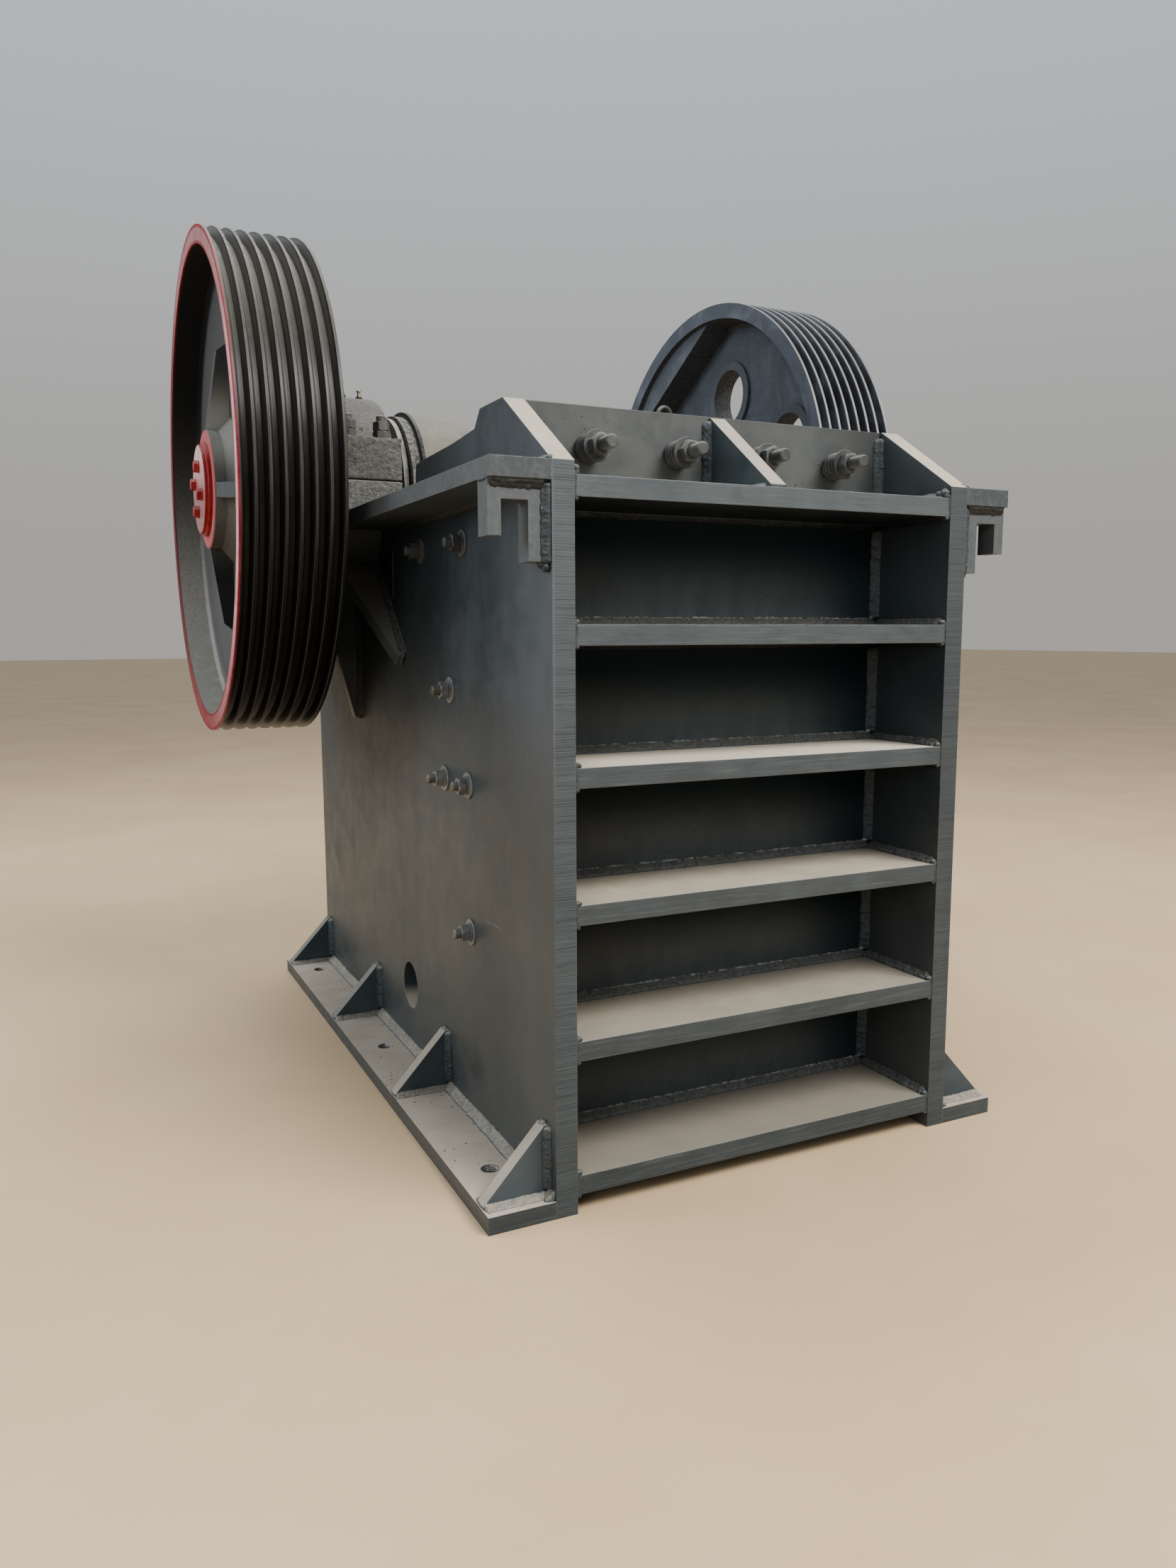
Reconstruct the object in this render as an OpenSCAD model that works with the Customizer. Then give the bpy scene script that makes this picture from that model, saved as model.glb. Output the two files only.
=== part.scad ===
/* [Frame] */
// Width over the outer faces of the two side plates
frame_w = 1075; // [1060:5:1100]
// Thickness of each side plate
plate_t = 50; // [45:1:55]
// Height from the floor to the top of the bearing flanges
post_h = 1575; // [1560:5:1600]
// Thickness of the six front ribs
rib_t = 43; // [38:1:46]
// How far the bearing flanges stand out of the side plates
flange_out = 130; // [120:1:135]
// Thickness of the bearing flanges
flange_t = 40; // [36:1:44]
// Height of the front wall, which stands above the top rib
wall_top = 1736; // [1725:1:1740]

/* [Feet] */
// How far each foot stands out of its side plate
foot_out = 155; // [150:1:160]
// Thickness of each foot
foot_t = 39; // [36:1:42]
// Diameter of the foundation bolt holes
foot_hole_d = 42; // [36:1:46]
// Height of the foot gussets above the floor
foot_gusset_h = 195; // [180:1:210]

/* [Shaft and wheels] */
// Height of the shaft axis
shaft_z = 1662; // [1660:1:1664]
// Throw of the eccentric
throw = 15; // [10:1:18]
// Outer radius of the flywheels
wheel_r = 711; // [700:1:715]
// Width of the flywheels
wheel_b = 268; // [262:1:270]
// Pitch of the belt grooves
groove_pitch = 37; // [36:0.5:37.5]
// Depth of the belt grooves
groove_depth = 27; // [22:1:28]

/* [Jaws] */
// Width of the feed mouth between the cheek plates
mouth_w = 900; // [890:2:904]
// Gap between the jaws at the discharge
discharge_gap = 120; // [100:5:140]

/* [Hidden] */
$fn = 96;

hw = frame_w / 2;            // outer half width of the frame
iw = hw - plate_t;           // inner half width of the frame
front = -1058;               // front edges of the side plates
rear = 1031;                 // rear edges of the side plates
wall_y = -800;               // front face of the front wall
wall_t = 50;
axis_y = 454;                // shaft axis
paint = [0.20, 0.235, 0.24];
bare = [0.45, 0.46, 0.46];
dusty = [0.55, 0.52, 0.46];
rib_tops = [1549, 1255, 964, 676, 382, 84];

// Turn a shape drawn round the Z axis so that it lies round the shaft axis,
// with its own +Z pointing along +X
module on_shaft(dy = 0, dz = 0) {
    translate([0, axis_y + dy, shaft_z + dz]) rotate([90, 0, 90]) children();
}
// Plate in the Y-Z plane, from x0 to x0 + t
module yz_plate(x0, t, pts) {
    translate([x0, 0, 0]) rotate([90, 0, 90]) linear_extrude(t) polygon(pts);
}
// Plate in the X-Z plane, from y0 to y0 + t
module xz_plate(y0, t, pts) {
    translate([0, y0 + t, 0]) rotate([90, 0, 0]) linear_extrude(t) polygon(pts);
}
module box(a, b) { translate(a) cube(b - a); }
module both(side) { mirror([side > 0 ? 0 : 1, 0, 0]) children(); }

/* ---- side plates: posts, cheeks and the ears that run up to the front wall ---- */
saddle_r = 290;
function ear(y) = y - 1058;
side_outline = [
    [front, 0], [rear, 0], [rear, post_h],
    [ear(880), post_h], [ear(868), wall_top - 60], [ear(786), wall_top - 55],
    [ear(568), wall_top - 48], [ear(426), wall_top - 38], [ear(390), wall_top],
    [ear(252), wall_top], [front, post_h]
];
module side_plate() {
    color(paint) difference() {
        yz_plate(iw, plate_t, side_outline);
        // seat for the bearing housing
        on_shaft() translate([0, 0, iw - 10]) cylinder(r = saddle_r, h = plate_t + 20, $fn = 128);
        // round access hole above the foot
        translate([iw - 10, ear(1029), 222]) rotate([0, 90, 0]) cylinder(r = 67, h = plate_t + 20);
    }
}
module side_plate_left() { both(-1) side_plate(); }
module side_plate_right() { both(1) side_plate(); }

/* ---- front wall and its ribs ---- */
module front_wall() {
    color(paint) difference() {
        box([-iw, wall_y, 41], [iw, wall_y + wall_t, wall_top]);
        for (x = clamp_x) translate([x, wall_y - 10, clamp_z]) rotate([-90, 0, 0])
            cylinder(r = clamp_r + 1, h = wall_t + 20, $fn = 48);
    }
}
module front_rib(n) {
    color(paint) box([-iw, front + 2, rib_tops[n] - rib_t], [iw, wall_y, rib_tops[n]]);
}
module upstand_gusset() {
    color(paint) yz_plate(-20, 40, [
        [wall_y, rib_tops[0]], [front + 3, rib_tops[0]], [front + 3, rib_tops[0] + 6],
        [wall_y - 8, wall_top - 4], [wall_y, wall_top - 4]]);
}

/* ---- flanges, brackets and the radial gussets under the bearings ---- */
module top_flange() {
    color(paint) difference() {
        box([hw, front, post_h - flange_t], [hw + flange_out, rear, post_h]);
        on_shaft() translate([0, 0, hw - 10]) cylinder(r = saddle_r + 40, h = flange_out + 20, $fn = 128);
    }
}
module top_flange_left() { both(-1) top_flange(); }
module top_flange_right() { both(1) top_flange(); }

// Inverted U under the front end of the flange
module flange_bracket() {
    z1 = post_h - flange_t;
    x1 = hw + flange_out;
    color(paint) xz_plate(front + 12, 52, [
        [hw, z1], [x1, z1], [x1, z1 - 110], [x1 - 28, z1 - 110], [x1 - 28, z1 - 40],
        [hw + 45, z1 - 40], [hw + 45, z1 - 158], [hw, z1 - 158]]);
}
module flange_bracket_left() { both(-1) flange_bracket(); }
module flange_bracket_right() { both(1) flange_bracket(); }

// Radial gusset: drawn along the radius from the saddle to its tip
module radial_gusset(angle, tip_r) {
    on_shaft() rotate([0, 0, angle]) rotate([90, 0, 0]) translate([0, 0, -20])
        linear_extrude(40) polygon([
            [saddle_r + 30, hw], [tip_r, hw], [tip_r, hw + 22],
            [tip_r - 375, hw + 120], [saddle_r + 30, hw + 120]]);
}
module bearing_saddle() {
    color(paint) union() {
        difference() {
            // half ring that the housing sits in, welded into the side plate
            on_shaft() translate([0, 0, hw]) cylinder(r = saddle_r + 40, h = flange_out, $fn = 128);
            on_shaft() translate([0, 0, hw - 10]) cylinder(r = saddle_r, h = flange_out + 20, $fn = 128);
            box([hw - 10, axis_y - 400, post_h], [hw + flange_out + 10, axis_y + 400, shaft_z + 400]);
        }
        radial_gusset(225, 702);
        radial_gusset(270, 686);
        radial_gusset(315, 702);
    }
}
module bearing_saddle_left() { both(-1) bearing_saddle(); }
module bearing_saddle_right() { both(1) bearing_saddle(); }

/* ---- feet ---- */
bolt_x = 610;
bolt_y = 853;
module foot() {
    color(paint) difference() {
        box([hw, front, 0], [hw + foot_out, rear, foot_t]);
        for (y = [-bolt_y, 0, bolt_y]) translate([bolt_x, y, -5]) cylinder(d = foot_hole_d, h = foot_t + 10, $fn = 64);
    }
}
module foot_left() { both(-1) foot(); }
module foot_right() { both(1) foot(); }

gusset_y = [-1003, -353, 312, 977];
module foot_gussets() {
    color(paint) for (y = gusset_y) xz_plate(y - 17.5, 35, [
        [hw, foot_t], [hw + foot_out - 3, foot_t], [hw + foot_out - 3, foot_t + 5],
        [hw + 12, foot_gusset_h], [hw, foot_gusset_h]]);
}
module foot_gussets_left() { both(-1) foot_gussets(); }
module foot_gussets_right() { both(1) foot_gussets(); }

/* ---- bearings ---- */
journal_r = 130;
seat_r = 110;
housing_x0 = 505;
housing_x1 = 690;
housing_l = 417;             // half length along the frame
shoulder_z = shaft_z + 118;  // top of the bolting shoulders of the cap
module bearing_housing() {
    color(bare) difference() {
        union() {
            box([housing_x0, axis_y - housing_l, post_h], [housing_x1, axis_y + housing_l, shaft_z]);
            on_shaft() translate([0, 0, housing_x0]) cylinder(r = saddle_r - 0.5, h = housing_x1 - housing_x0, $fn = 128);
        }
        box([housing_x0 - 10, axis_y - 500, shaft_z], [housing_x1 + 10, axis_y + 500, shaft_z + 500]);
        on_shaft() translate([0, 0, housing_x0 - 10]) cylinder(r = journal_r + 0.05, h = 300, $fn = 128);
    }
}
module bearing_housing_left() { both(-1) bearing_housing(); }
module bearing_housing_right() { both(1) bearing_housing(); }

module bearing_cap() {
    color(bare) difference() {
        union() {
            box([housing_x0, axis_y - housing_l, shaft_z], [housing_x1, axis_y + housing_l, shoulder_z]);
            on_shaft() translate([0, 0, housing_x0 - 21]) cylinder(r = 288, h = 8, $fn = 128);
            on_shaft() translate([0, 0, housing_x0 - 13]) cylinder(r = 294, h = housing_x1 - housing_x0 + 13, $fn = 128);
        }
        box([housing_x0 - 30, axis_y - 500, shaft_z - 500], [housing_x1 + 10, axis_y + 500, shaft_z]);
        on_shaft() translate([0, 0, housing_x0 - 30]) cylinder(r = journal_r + 0.05, h = 300, $fn = 128);
    }
}
module bearing_cap_left() { both(-1) bearing_cap(); }
module bearing_cap_right() { both(1) bearing_cap(); }

// Inner and outer end covers of both bearings
module seal_ring_pair() {
    difference() {
        union() {
            on_shaft() translate([0, 0, 432]) cylinder(r = 243, h = 15, $fn = 128);
            on_shaft() translate([0, 0, 432]) cylinder(r = 205, h = housing_x0 - 21 - 432, $fn = 128);
            on_shaft() translate([0, 0, housing_x1]) cylinder(r = 205, h = 20, $fn = 128);
        }
        on_shaft() translate([0, 0, 420]) cylinder(r = journal_r + 0.5, h = 320, $fn = 128);
    }
}
module seal_rings() {
    color(bare) for (s = [-1, 1]) both(s) seal_ring_pair();
}
module lifting_eyes() {
    color(bare) for (s = [-1, 1]) both(s) {
        difference() {
            translate([577, axis_y, shaft_z + 284]) cylinder(r = 22, h = 22);
            on_shaft() translate([0, 0, 540]) cylinder(r = 294.05, h = 80, $fn = 128);
        }
        // each eye is screwed in as far as it went: the left one stands along the frame, the right one across it
        translate([577, axis_y, shaft_z + 336]) rotate([90, 0, s < 0 ? 90 : 0])
            rotate_extrude() translate([25, 0]) circle(r = 8, $fn = 32);
    }
}

/* ---- eccentric shaft ---- */
ecc_a = 240;                 // direction of the throw, from +Y towards +Z
ecc_y = throw * cos(ecc_a);
ecc_z = throw * sin(ecc_a);
ecc_r = 150;
module eccentric_shaft() {
    color(bare) union() {
        on_shaft() translate([0, 0, -975]) cylinder(r = seat_r, h = 1950, $fn = 128);
        on_shaft() translate([0, 0, -712]) cylinder(r = journal_r, h = 1424, $fn = 128);
        on_shaft(ecc_y, ecc_z) translate([0, 0, -428]) cylinder(r = ecc_r, h = 856, $fn = 128);
    }
}

/* ---- flywheels ---- */
wheel_x0 = 733;
wheel_x1 = wheel_x0 + wheel_b;
web_x0 = 852;
web_x1 = 912;
land = 7.5;
edge = (wheel_b - 6 * groove_pitch) / 2;
groove_w = groove_pitch - land;
bottom_w = groove_w - 2 * groove_depth * tan(18);
rim_in = 662;
function groove(i) = let (c = wheel_x0 + edge + i * groove_pitch) [
    [wheel_r, c - groove_w / 2], [wheel_r - groove_depth, c - bottom_w / 2],
    [wheel_r - groove_depth, c + bottom_w / 2], [wheel_r, c + groove_w / 2]];
wheel_profile = concat(
    [[seat_r + 0.05, 742], [190, 742], [196, 748], [210, web_x0], [rim_in - 14, web_x0],
     [rim_in - 4, web_x0 - 10], [rim_in, wheel_x0], [wheel_r - 1, wheel_x0], [wheel_r, wheel_x0 + 1]],
    [for (i = [0:6]) each groove(i)],
    [[wheel_r, wheel_x1 - 1], [wheel_r - 1, wheel_x1], [rim_in, wheel_x1], [rim_in - 4, web_x1 + 10],
     [rim_in - 14, web_x1], [210, web_x1], [171, 946], [171, 978], [168, 981], [seat_r + 0.05, 981]]);
module flywheel(holes, hole_a0, ribs, rib_a0) {
    difference() {
        union() {
            on_shaft() rotate_extrude($fn = 192) polygon(wheel_profile);
            // radial ribs on the outer face
            for (i = [0:ribs - 1]) on_shaft() rotate([0, 0, rib_a0 + i * 360 / ribs]) rotate([90, 0, 0])
                translate([0, 0, -21]) linear_extrude(42) polygon([
                    [150, web_x1 - 5], [412, web_x1 - 5], [412, web_x1 + 6], [391, 943], [160, 978]]);
            // raised collars round the holes
            for (i = [0:1:holes - 1]) on_shaft() rotate([0, 0, hole_a0 + i * 360 / holes])
                translate([418, 0, web_x0 - 10]) cylinder(r = 125, h = 20, $fn = 64);
            // counterweight, a segment against the rim on the frame side
            intersection() {
                on_shaft() translate([0, 0, 752]) cylinder(r = rim_in + 6, h = web_x0 - 752 + 5, $fn = 192);
                on_shaft() rotate([0, 0, 60]) translate([573, -400, 740]) cube([200, 800, 200]);
            }
        }
        for (i = [0:1:holes - 1]) on_shaft() rotate([0, 0, hole_a0 + i * 360 / holes])
            translate([418, 0, web_x0 - 40]) cylinder(r = 94, h = 120, $fn = 64);
    }
}
module flywheel_left() { color(paint) both(-1) flywheel(0, 0, 4, 6); }
module flywheel_right() { color(paint) both(1) flywheel(6, 30, 6, 0); }

// End plate of the hub, held by four bolts with washers
module hub_cap() {
    color([0.55, 0.08, 0.08]) on_shaft() translate([0, 0, 981]) union() {
        cylinder(r = 135, h = 20);
        for (i = [0:3]) rotate([0, 0, 18 + i * 90]) translate([66, 0, 0]) {
            cylinder(r = 18.5, h = 23, $fn = 48);
            cylinder(r = 17.3, h = 36, $fn = 6);
        }
    }
}
module hub_cap_left() { both(-1) hub_cap(); }
module hub_cap_right() { both(1) hub_cap(); }

/* ---- fixed jaw: plate, clamping bolts and springs ---- */
clamp_x = [-336, -110, 110, 336];
clamp_z = 1642;
clamp_r = 15;
clamp_l = 127;               // how far the studs stand out of the front wall
spring_l = 52;
jaw_face = wall_y + wall_t + 110;
jaw_bottom = 420;
jaw_top = 1640;
fixed_top = 1588;
tooth_pitch = 90;
// Corrugated plate drawn in X-Y, teeth towards +Y
module toothed(w, t) {
    n = floor(w / tooth_pitch);
    x0 = -n * tooth_pitch / 2;
    polygon(concat([[-w / 2, 0]], [[w / 2, 0]], [[w / 2, t - 35]],
        [for (i = [n - 1:-1:0]) each [
            [x0 + (i + 0.95) * tooth_pitch, t - 35], [x0 + (i + 0.62) * tooth_pitch, t],
            [x0 + (i + 0.38) * tooth_pitch, t], [x0 + (i + 0.05) * tooth_pitch, t - 35]]],
        [[-w / 2, t - 35]]));
}
module fixed_jaw_plate() {
    color(bare) translate([0, wall_y + wall_t, jaw_bottom]) linear_extrude(fixed_top - jaw_bottom) toothed(mouth_w - 4, 110);
}
module jaw_clamp_bolts() {
    color(bare) union() {
        for (x = clamp_x) translate([x, wall_y, clamp_z]) rotate([90, 0, 0]) {
            translate([0, 0, -wall_t - 30]) cylinder(r = clamp_r, h = wall_t + 30 + clamp_l, $fn = 48);
            translate([0, 0, spring_l]) cylinder(r = 35, h = 6, $fn = 48);
            translate([0, 0, spring_l + 6]) rotate([0, 0, 20]) cylinder(r = 26.5, h = 24, $fn = 6);
        }
        // bar behind the wall that holds down the top of the fixed jaw plate
        yz_plate(-430, 860, [
            [wall_y + wall_t + 1, fixed_top + 2], [wall_y + wall_t + 95, fixed_top + 2],
            [wall_y + wall_t + 75, fixed_top + 80], [wall_y + wall_t + 30, wall_top - 40], [wall_y + wall_t + 1, wall_top - 40]]);
    }
}
module jaw_clamp_springs() {
    color(bare) for (x = clamp_x) translate([x, wall_y, clamp_z]) rotate([90, 0, 0]) difference() {
        cylinder(r = 33, h = spring_l, $fn = 48);
        translate([0, 0, -5]) cylinder(r = 23, h = spring_l + 10, $fn = 48);
    }
}

/* ---- cheek plates that line the crushing chamber ---- */
// Y of the moving jaw's face at height z, at rest
face_y0 = jaw_face + discharge_gap;
face_slope = 500 / (jaw_top - jaw_bottom);
function face_y(z) = face_y0 + face_slope * (z - jaw_bottom);
cheek_t = iw - mouth_w / 2 - 3;
module cheek_plates() {
    for (z = [[1006, 1650], [460, 1000]])
        color(bare) yz_plate(iw - cheek_t, cheek_t, [
            [wall_y + wall_t + 2, z[0]], [face_y(z[0]) - 5, z[0]], [face_y(z[1]) - 5, z[1]], [wall_y + wall_t + 2, z[1]]]);
}
module cheek_plates_left() { both(-1) cheek_plates(); }
module cheek_plates_right() { both(1) cheek_plates(); }

/* ---- moving jaw ---- */
jaw_angle = atan(face_slope);
jaw_t = 100;
// Frame along the moving jaw's face: X across, Y up the face, Z out of the face towards the chamber
module on_jaw_face() {
    translate([0, face_y(jaw_bottom), jaw_bottom]) rotate([90 - jaw_angle, 0, 0]) children();
}
jaw_l = (jaw_top - jaw_bottom) / cos(jaw_angle);
module moving_jaw_plate() {
    color(bare) translate([0, face_y(jaw_bottom), jaw_bottom]) rotate([-jaw_angle, 0, 0])
        translate([0, jaw_t, 0]) mirror([0, 1, 0]) linear_extrude(jaw_l) toothed(mouth_w - 20, jaw_t);
}
body_w = 840;
by = axis_y + ecc_y;
bz = shaft_z + ecc_z;
function back_y(z) = face_y(z) + jaw_t / cos(jaw_angle);
module moving_jaw() {
    color(dusty) difference() {
        union() {
            // barrel over the eccentric, larger at its ends
            on_shaft(ecc_y, ecc_z) rotate_extrude($fn = 128) polygon([
                [100, -427], [262, -427], [262, -398], [276, -396], [276, -240], [247, -180],
                [247, 180], [276, 240], [276, 396], [262, 398], [262, 427], [100, 427]]);
            // body from the barrel down to the toggle seat
            yz_plate(-body_w / 2, body_w, [
                [back_y(430), 430], [back_y(430) + 150, 430], [back_y(430) + 235, 500], [back_y(430) + 235, 660],
                [by + 40, bz - 180], [by, bz], [by - 180, bz + 60], [back_y(1640), 1640]]);
            // two webs on the back
            for (x = [-260, 220]) yz_plate(x, 40, [
                [back_y(600) + 180, 600], [by + 120, bz - 230], [by, bz - 100], [back_y(800) + 10, 800]]);
        }
        on_shaft(ecc_y, ecc_z) translate([0, 0, -500]) cylinder(r = ecc_r + 0.05, h = 1000, $fn = 128);
        // toggle seat in the back of the lower end
        box([-280, back_y(430) + 180, 530], [280, back_y(430) + 300, 630]);
        // slot for the eye of the tension rod
        box([-45, back_y(430) + 70, 400], [45, back_y(430) + 300, 550]);
    }
    // pin across the slot
    color(bare) translate([-60, pin_y, pin_z]) rotate([0, 90, 0]) cylinder(r = 18, h = 120, $fn = 48);
}

/* ---- toggle, its beam, and the tension rod ---- */
seat_y = back_y(430) + 180;
toggle_z = 593;              // middle of the seat's path when the shaft turns
beam_y0 = 560;
beam_y1 = 760;
module toggle_plate() {
    color(bare) union() {
        box([-255, seat_y + 50, toggle_z - 18], [255, beam_y0 - 50, toggle_z + 18]);
        translate([-255, seat_y + 56, toggle_z]) rotate([0, 90, 0]) cylinder(r = 26, h = 510);
        translate([-255, beam_y0 - 66, toggle_z]) rotate([0, 90, 0]) cylinder(r = 26, h = 510);
    }
}
module toggle_beam() {
    color(paint) difference() {
        box([-iw, beam_y0 - 60, 515], [iw, beam_y1, 690]);
        box([-270, beam_y0 - 70, toggle_z - 30], [270, beam_y0 - 40, toggle_z + 30]);
    }
}
module adjusting_shims() {
    color(bare) for (i = [0:3]) box([-290, beam_y1 + i * 21.25, 525], [290, beam_y1 + i * 21.25 + 20, 680]);
}
rear_y0 = 845;
rear_y1 = 895;
pin_y = back_y(430) + 150;
pin_z = 460;
// the eye sits in the middle of the path of the pin
eye_y = pin_y - ecc_y;
rod_z = pin_z - ecc_z;
module tension_rod() {
    color(bare) union() {
        difference() {
            union() {
                translate([-20, eye_y, rod_z]) rotate([0, 90, 0]) cylinder(r = 58, h = 40, $fn = 64);
                translate([0, eye_y + 45, rod_z]) rotate([-90, 0, 0]) cylinder(r = 20, h = 1255 - eye_y - 45, $fn = 48);
            }
            translate([-30, eye_y, rod_z]) rotate([0, 90, 0]) cylinder(r = 38, h = 60, $fn = 64);
        }
        translate([0, 1180, rod_z]) rotate([-90, 0, 0]) cylinder(r = 60, h = 14, $fn = 48);
        translate([0, 1194, rod_z]) rotate([-90, 0, 0]) cylinder(r = 36, h = 40, $fn = 6);
    }
}
module tension_spring() {
    color(bare) difference() {
        translate([0, rear_y1, rod_z]) rotate([-90, 0, 0]) cylinder(r = 55, h = 1180 - rear_y1, $fn = 64);
        translate([0, rear_y1 - 5, rod_z]) rotate([-90, 0, 0]) cylinder(r = 37, h = 1200 - rear_y1, $fn = 64);
    }
}

/* ---- rear wall ---- */
module rear_wall() {
    color(paint) difference() {
        box([-iw, rear_y0, 330], [iw, rear_y1, 1320]);
        translate([0, rear_y0 - 10, rod_z]) rotate([-90, 0, 0]) cylinder(r = 30, h = 80, $fn = 64);
    }
}
rear_rib_tops = [1320, 964, 382];
module rear_ribs() {
    color(paint) for (z = rear_rib_tops) box([-iw, rear_y1, z - rib_t], [iw, rear - 2, z]);
}

side_plate_left();
side_plate_right();
front_wall();
front_rib(0);  // front_rib_1
front_rib(1);  // front_rib_2
front_rib(2);  // front_rib_3
front_rib(3);  // front_rib_4
front_rib(4);  // front_rib_5
front_rib(5);  // front_rib_6
upstand_gusset();
top_flange_left();
top_flange_right();
flange_bracket_left();
flange_bracket_right();
bearing_saddle_left();
bearing_saddle_right();
foot_left();
foot_right();
foot_gussets_left();
foot_gussets_right();
bearing_housing_left();
bearing_housing_right();
bearing_cap_left();
bearing_cap_right();
seal_rings();
lifting_eyes();
eccentric_shaft();
flywheel_left();
flywheel_right();
hub_cap_left();
hub_cap_right();
moving_jaw();
moving_jaw_plate();
fixed_jaw_plate();
cheek_plates_left();
cheek_plates_right();
jaw_clamp_bolts();
jaw_clamp_springs();
toggle_beam();
adjusting_shims();
toggle_plate();
tension_rod();
tension_spring();
rear_wall();
rear_ribs();
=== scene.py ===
import math
import bpy
import bmesh
import numpy as np
from mathutils import Matrix, Vector


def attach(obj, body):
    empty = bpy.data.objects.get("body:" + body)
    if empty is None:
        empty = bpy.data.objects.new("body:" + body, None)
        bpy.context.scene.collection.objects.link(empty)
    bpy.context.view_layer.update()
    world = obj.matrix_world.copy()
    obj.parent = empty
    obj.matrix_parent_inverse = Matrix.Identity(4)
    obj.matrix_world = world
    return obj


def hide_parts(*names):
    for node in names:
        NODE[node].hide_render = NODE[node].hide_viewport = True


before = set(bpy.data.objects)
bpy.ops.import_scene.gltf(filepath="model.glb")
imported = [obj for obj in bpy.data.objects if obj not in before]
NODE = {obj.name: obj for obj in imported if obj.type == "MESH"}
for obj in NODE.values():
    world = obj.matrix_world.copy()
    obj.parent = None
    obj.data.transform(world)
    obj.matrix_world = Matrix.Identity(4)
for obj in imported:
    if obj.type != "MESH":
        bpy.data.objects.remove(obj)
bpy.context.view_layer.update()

# ---------------------------------------------------------------------------
# sizes, in metres, that match the CAD frame
# ---------------------------------------------------------------------------
HW, IW = 0.5375, 0.4875            # outer and inner half width of the frame
FRONT, REAR = -1.058, 1.031        # front and rear edges of the side plates
WALL = -0.800                      # front face of the front wall
WALL_BACK = -0.750
POST = 1.575                       # top of the posts and flanges
WALL_TOP = 1.736
RIB_T = 0.043
RIBS = [1.549, 1.255, 0.964, 0.676, 0.382, 0.084]
FOOT_T, FOOT_X = 0.039, 0.6925
AX_Y, AX_Z = 0.454, 1.662          # shaft axis
FLANGE_X, FLANGE_T = 0.6675, 0.040
REAR_WALL0, REAR_WALL1 = 0.845, 0.895
rng = np.random.default_rng(7)


# ---------------------------------------------------------------------------
# camera
# ---------------------------------------------------------------------------
def make_camera():
    cam = bpy.data.cameras.new("camera")
    ob = bpy.data.objects.new("camera", cam)
    bpy.context.scene.collection.objects.link(ob)
    yaw, pitch, roll = math.radians(-25.89), math.radians(-7.60), math.radians(-0.18)
    d = Vector((-math.sin(yaw) * math.cos(pitch), math.cos(yaw) * math.cos(pitch), math.sin(pitch)))
    r = d.cross(Vector((0, 0, 1))).normalized()
    u = r.cross(d)
    c, s = math.cos(roll), math.sin(roll)
    r2, u2 = r * c + u * s, u * c - r * s
    m = Matrix((r2, u2, -d)).transposed().to_4x4()
    m.translation = Vector((-1.4608, -3.1190, 1.2365))
    ob.matrix_world = m
    cam.sensor_fit = "HORIZONTAL"
    cam.sensor_width = 36.0
    cam.lens = 34.50
    cam.clip_start, cam.clip_end = 0.05, 200
    bpy.context.scene.camera = ob


# ---------------------------------------------------------------------------
# noise and mesh helpers
# ---------------------------------------------------------------------------
def _hash(ix, iy, iz, seed):
    h = (ix * 374761393 + iy * 668265263 + iz * 1440662683 + seed * 1274126177) & 0xFFFFFFFF
    h = ((h ^ (h >> 13)) * 1274126177) & 0xFFFFFFFF
    h = ((h ^ (h >> 15)) * 846930886) & 0xFFFFFFFF
    return ((h ^ (h >> 16)) & 0xFFFFFF) / 0xFFFFFF * 2 - 1


def vnoise(p, scale, seed=0):
    """Smooth value noise from -1 to 1 at points p, scale in cells per metre (a number or three)."""
    q = np.asarray(p, float) * np.asarray(scale, float) + 1000.0
    i = np.floor(q).astype(np.int64)
    f = q - i
    f = f * f * (3 - 2 * f)
    out = 0
    for dx in (0, 1):
        for dy in (0, 1):
            for dz in (0, 1):
                w = ((f[..., 0] if dx else 1 - f[..., 0]) * (f[..., 1] if dy else 1 - f[..., 1])
                     * (f[..., 2] if dz else 1 - f[..., 2]))
                out = out + w * _hash(i[..., 0] + dx, i[..., 1] + dy, i[..., 2] + dz, seed)
    return out


def fbm(p, scale, octaves=3, seed=0, gain=0.55):
    s, a, out, tot = np.asarray(scale, float), 1.0, 0, 0
    for k in range(octaves):
        out = out + a * vnoise(p, s, seed + 17 * k)
        tot += a
        a *= gain
        s = s * 2.03
    return out / tot


def grid_faces(m, n, cu=False, cv=False):
    i, j = np.arange(m if cu else m - 1), np.arange(n if cv else n - 1)
    a, b = np.meshgrid(i, j, indexing="ij")
    a1, b1 = (a + 1) % m, (b + 1) % n
    return np.stack([a * n + b, a1 * n + b, a1 * n + b1, a * n + b1], -1).reshape(-1, 4)


def axes(origin, z, x=None):
    """Matrix that puts local +Z along z at origin."""
    z = Vector(z).normalized()
    x = Vector(x) if x is not None else (Vector((0, 0, 1)) if abs(z.z) < 0.9 else Vector((1, 0, 0)))
    x = (x - z * x.dot(z)).normalized()
    y = z.cross(x)
    m = Matrix((x, y, z)).transposed().to_4x4()
    m.translation = Vector(origin)
    return np.array(m)


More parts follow.
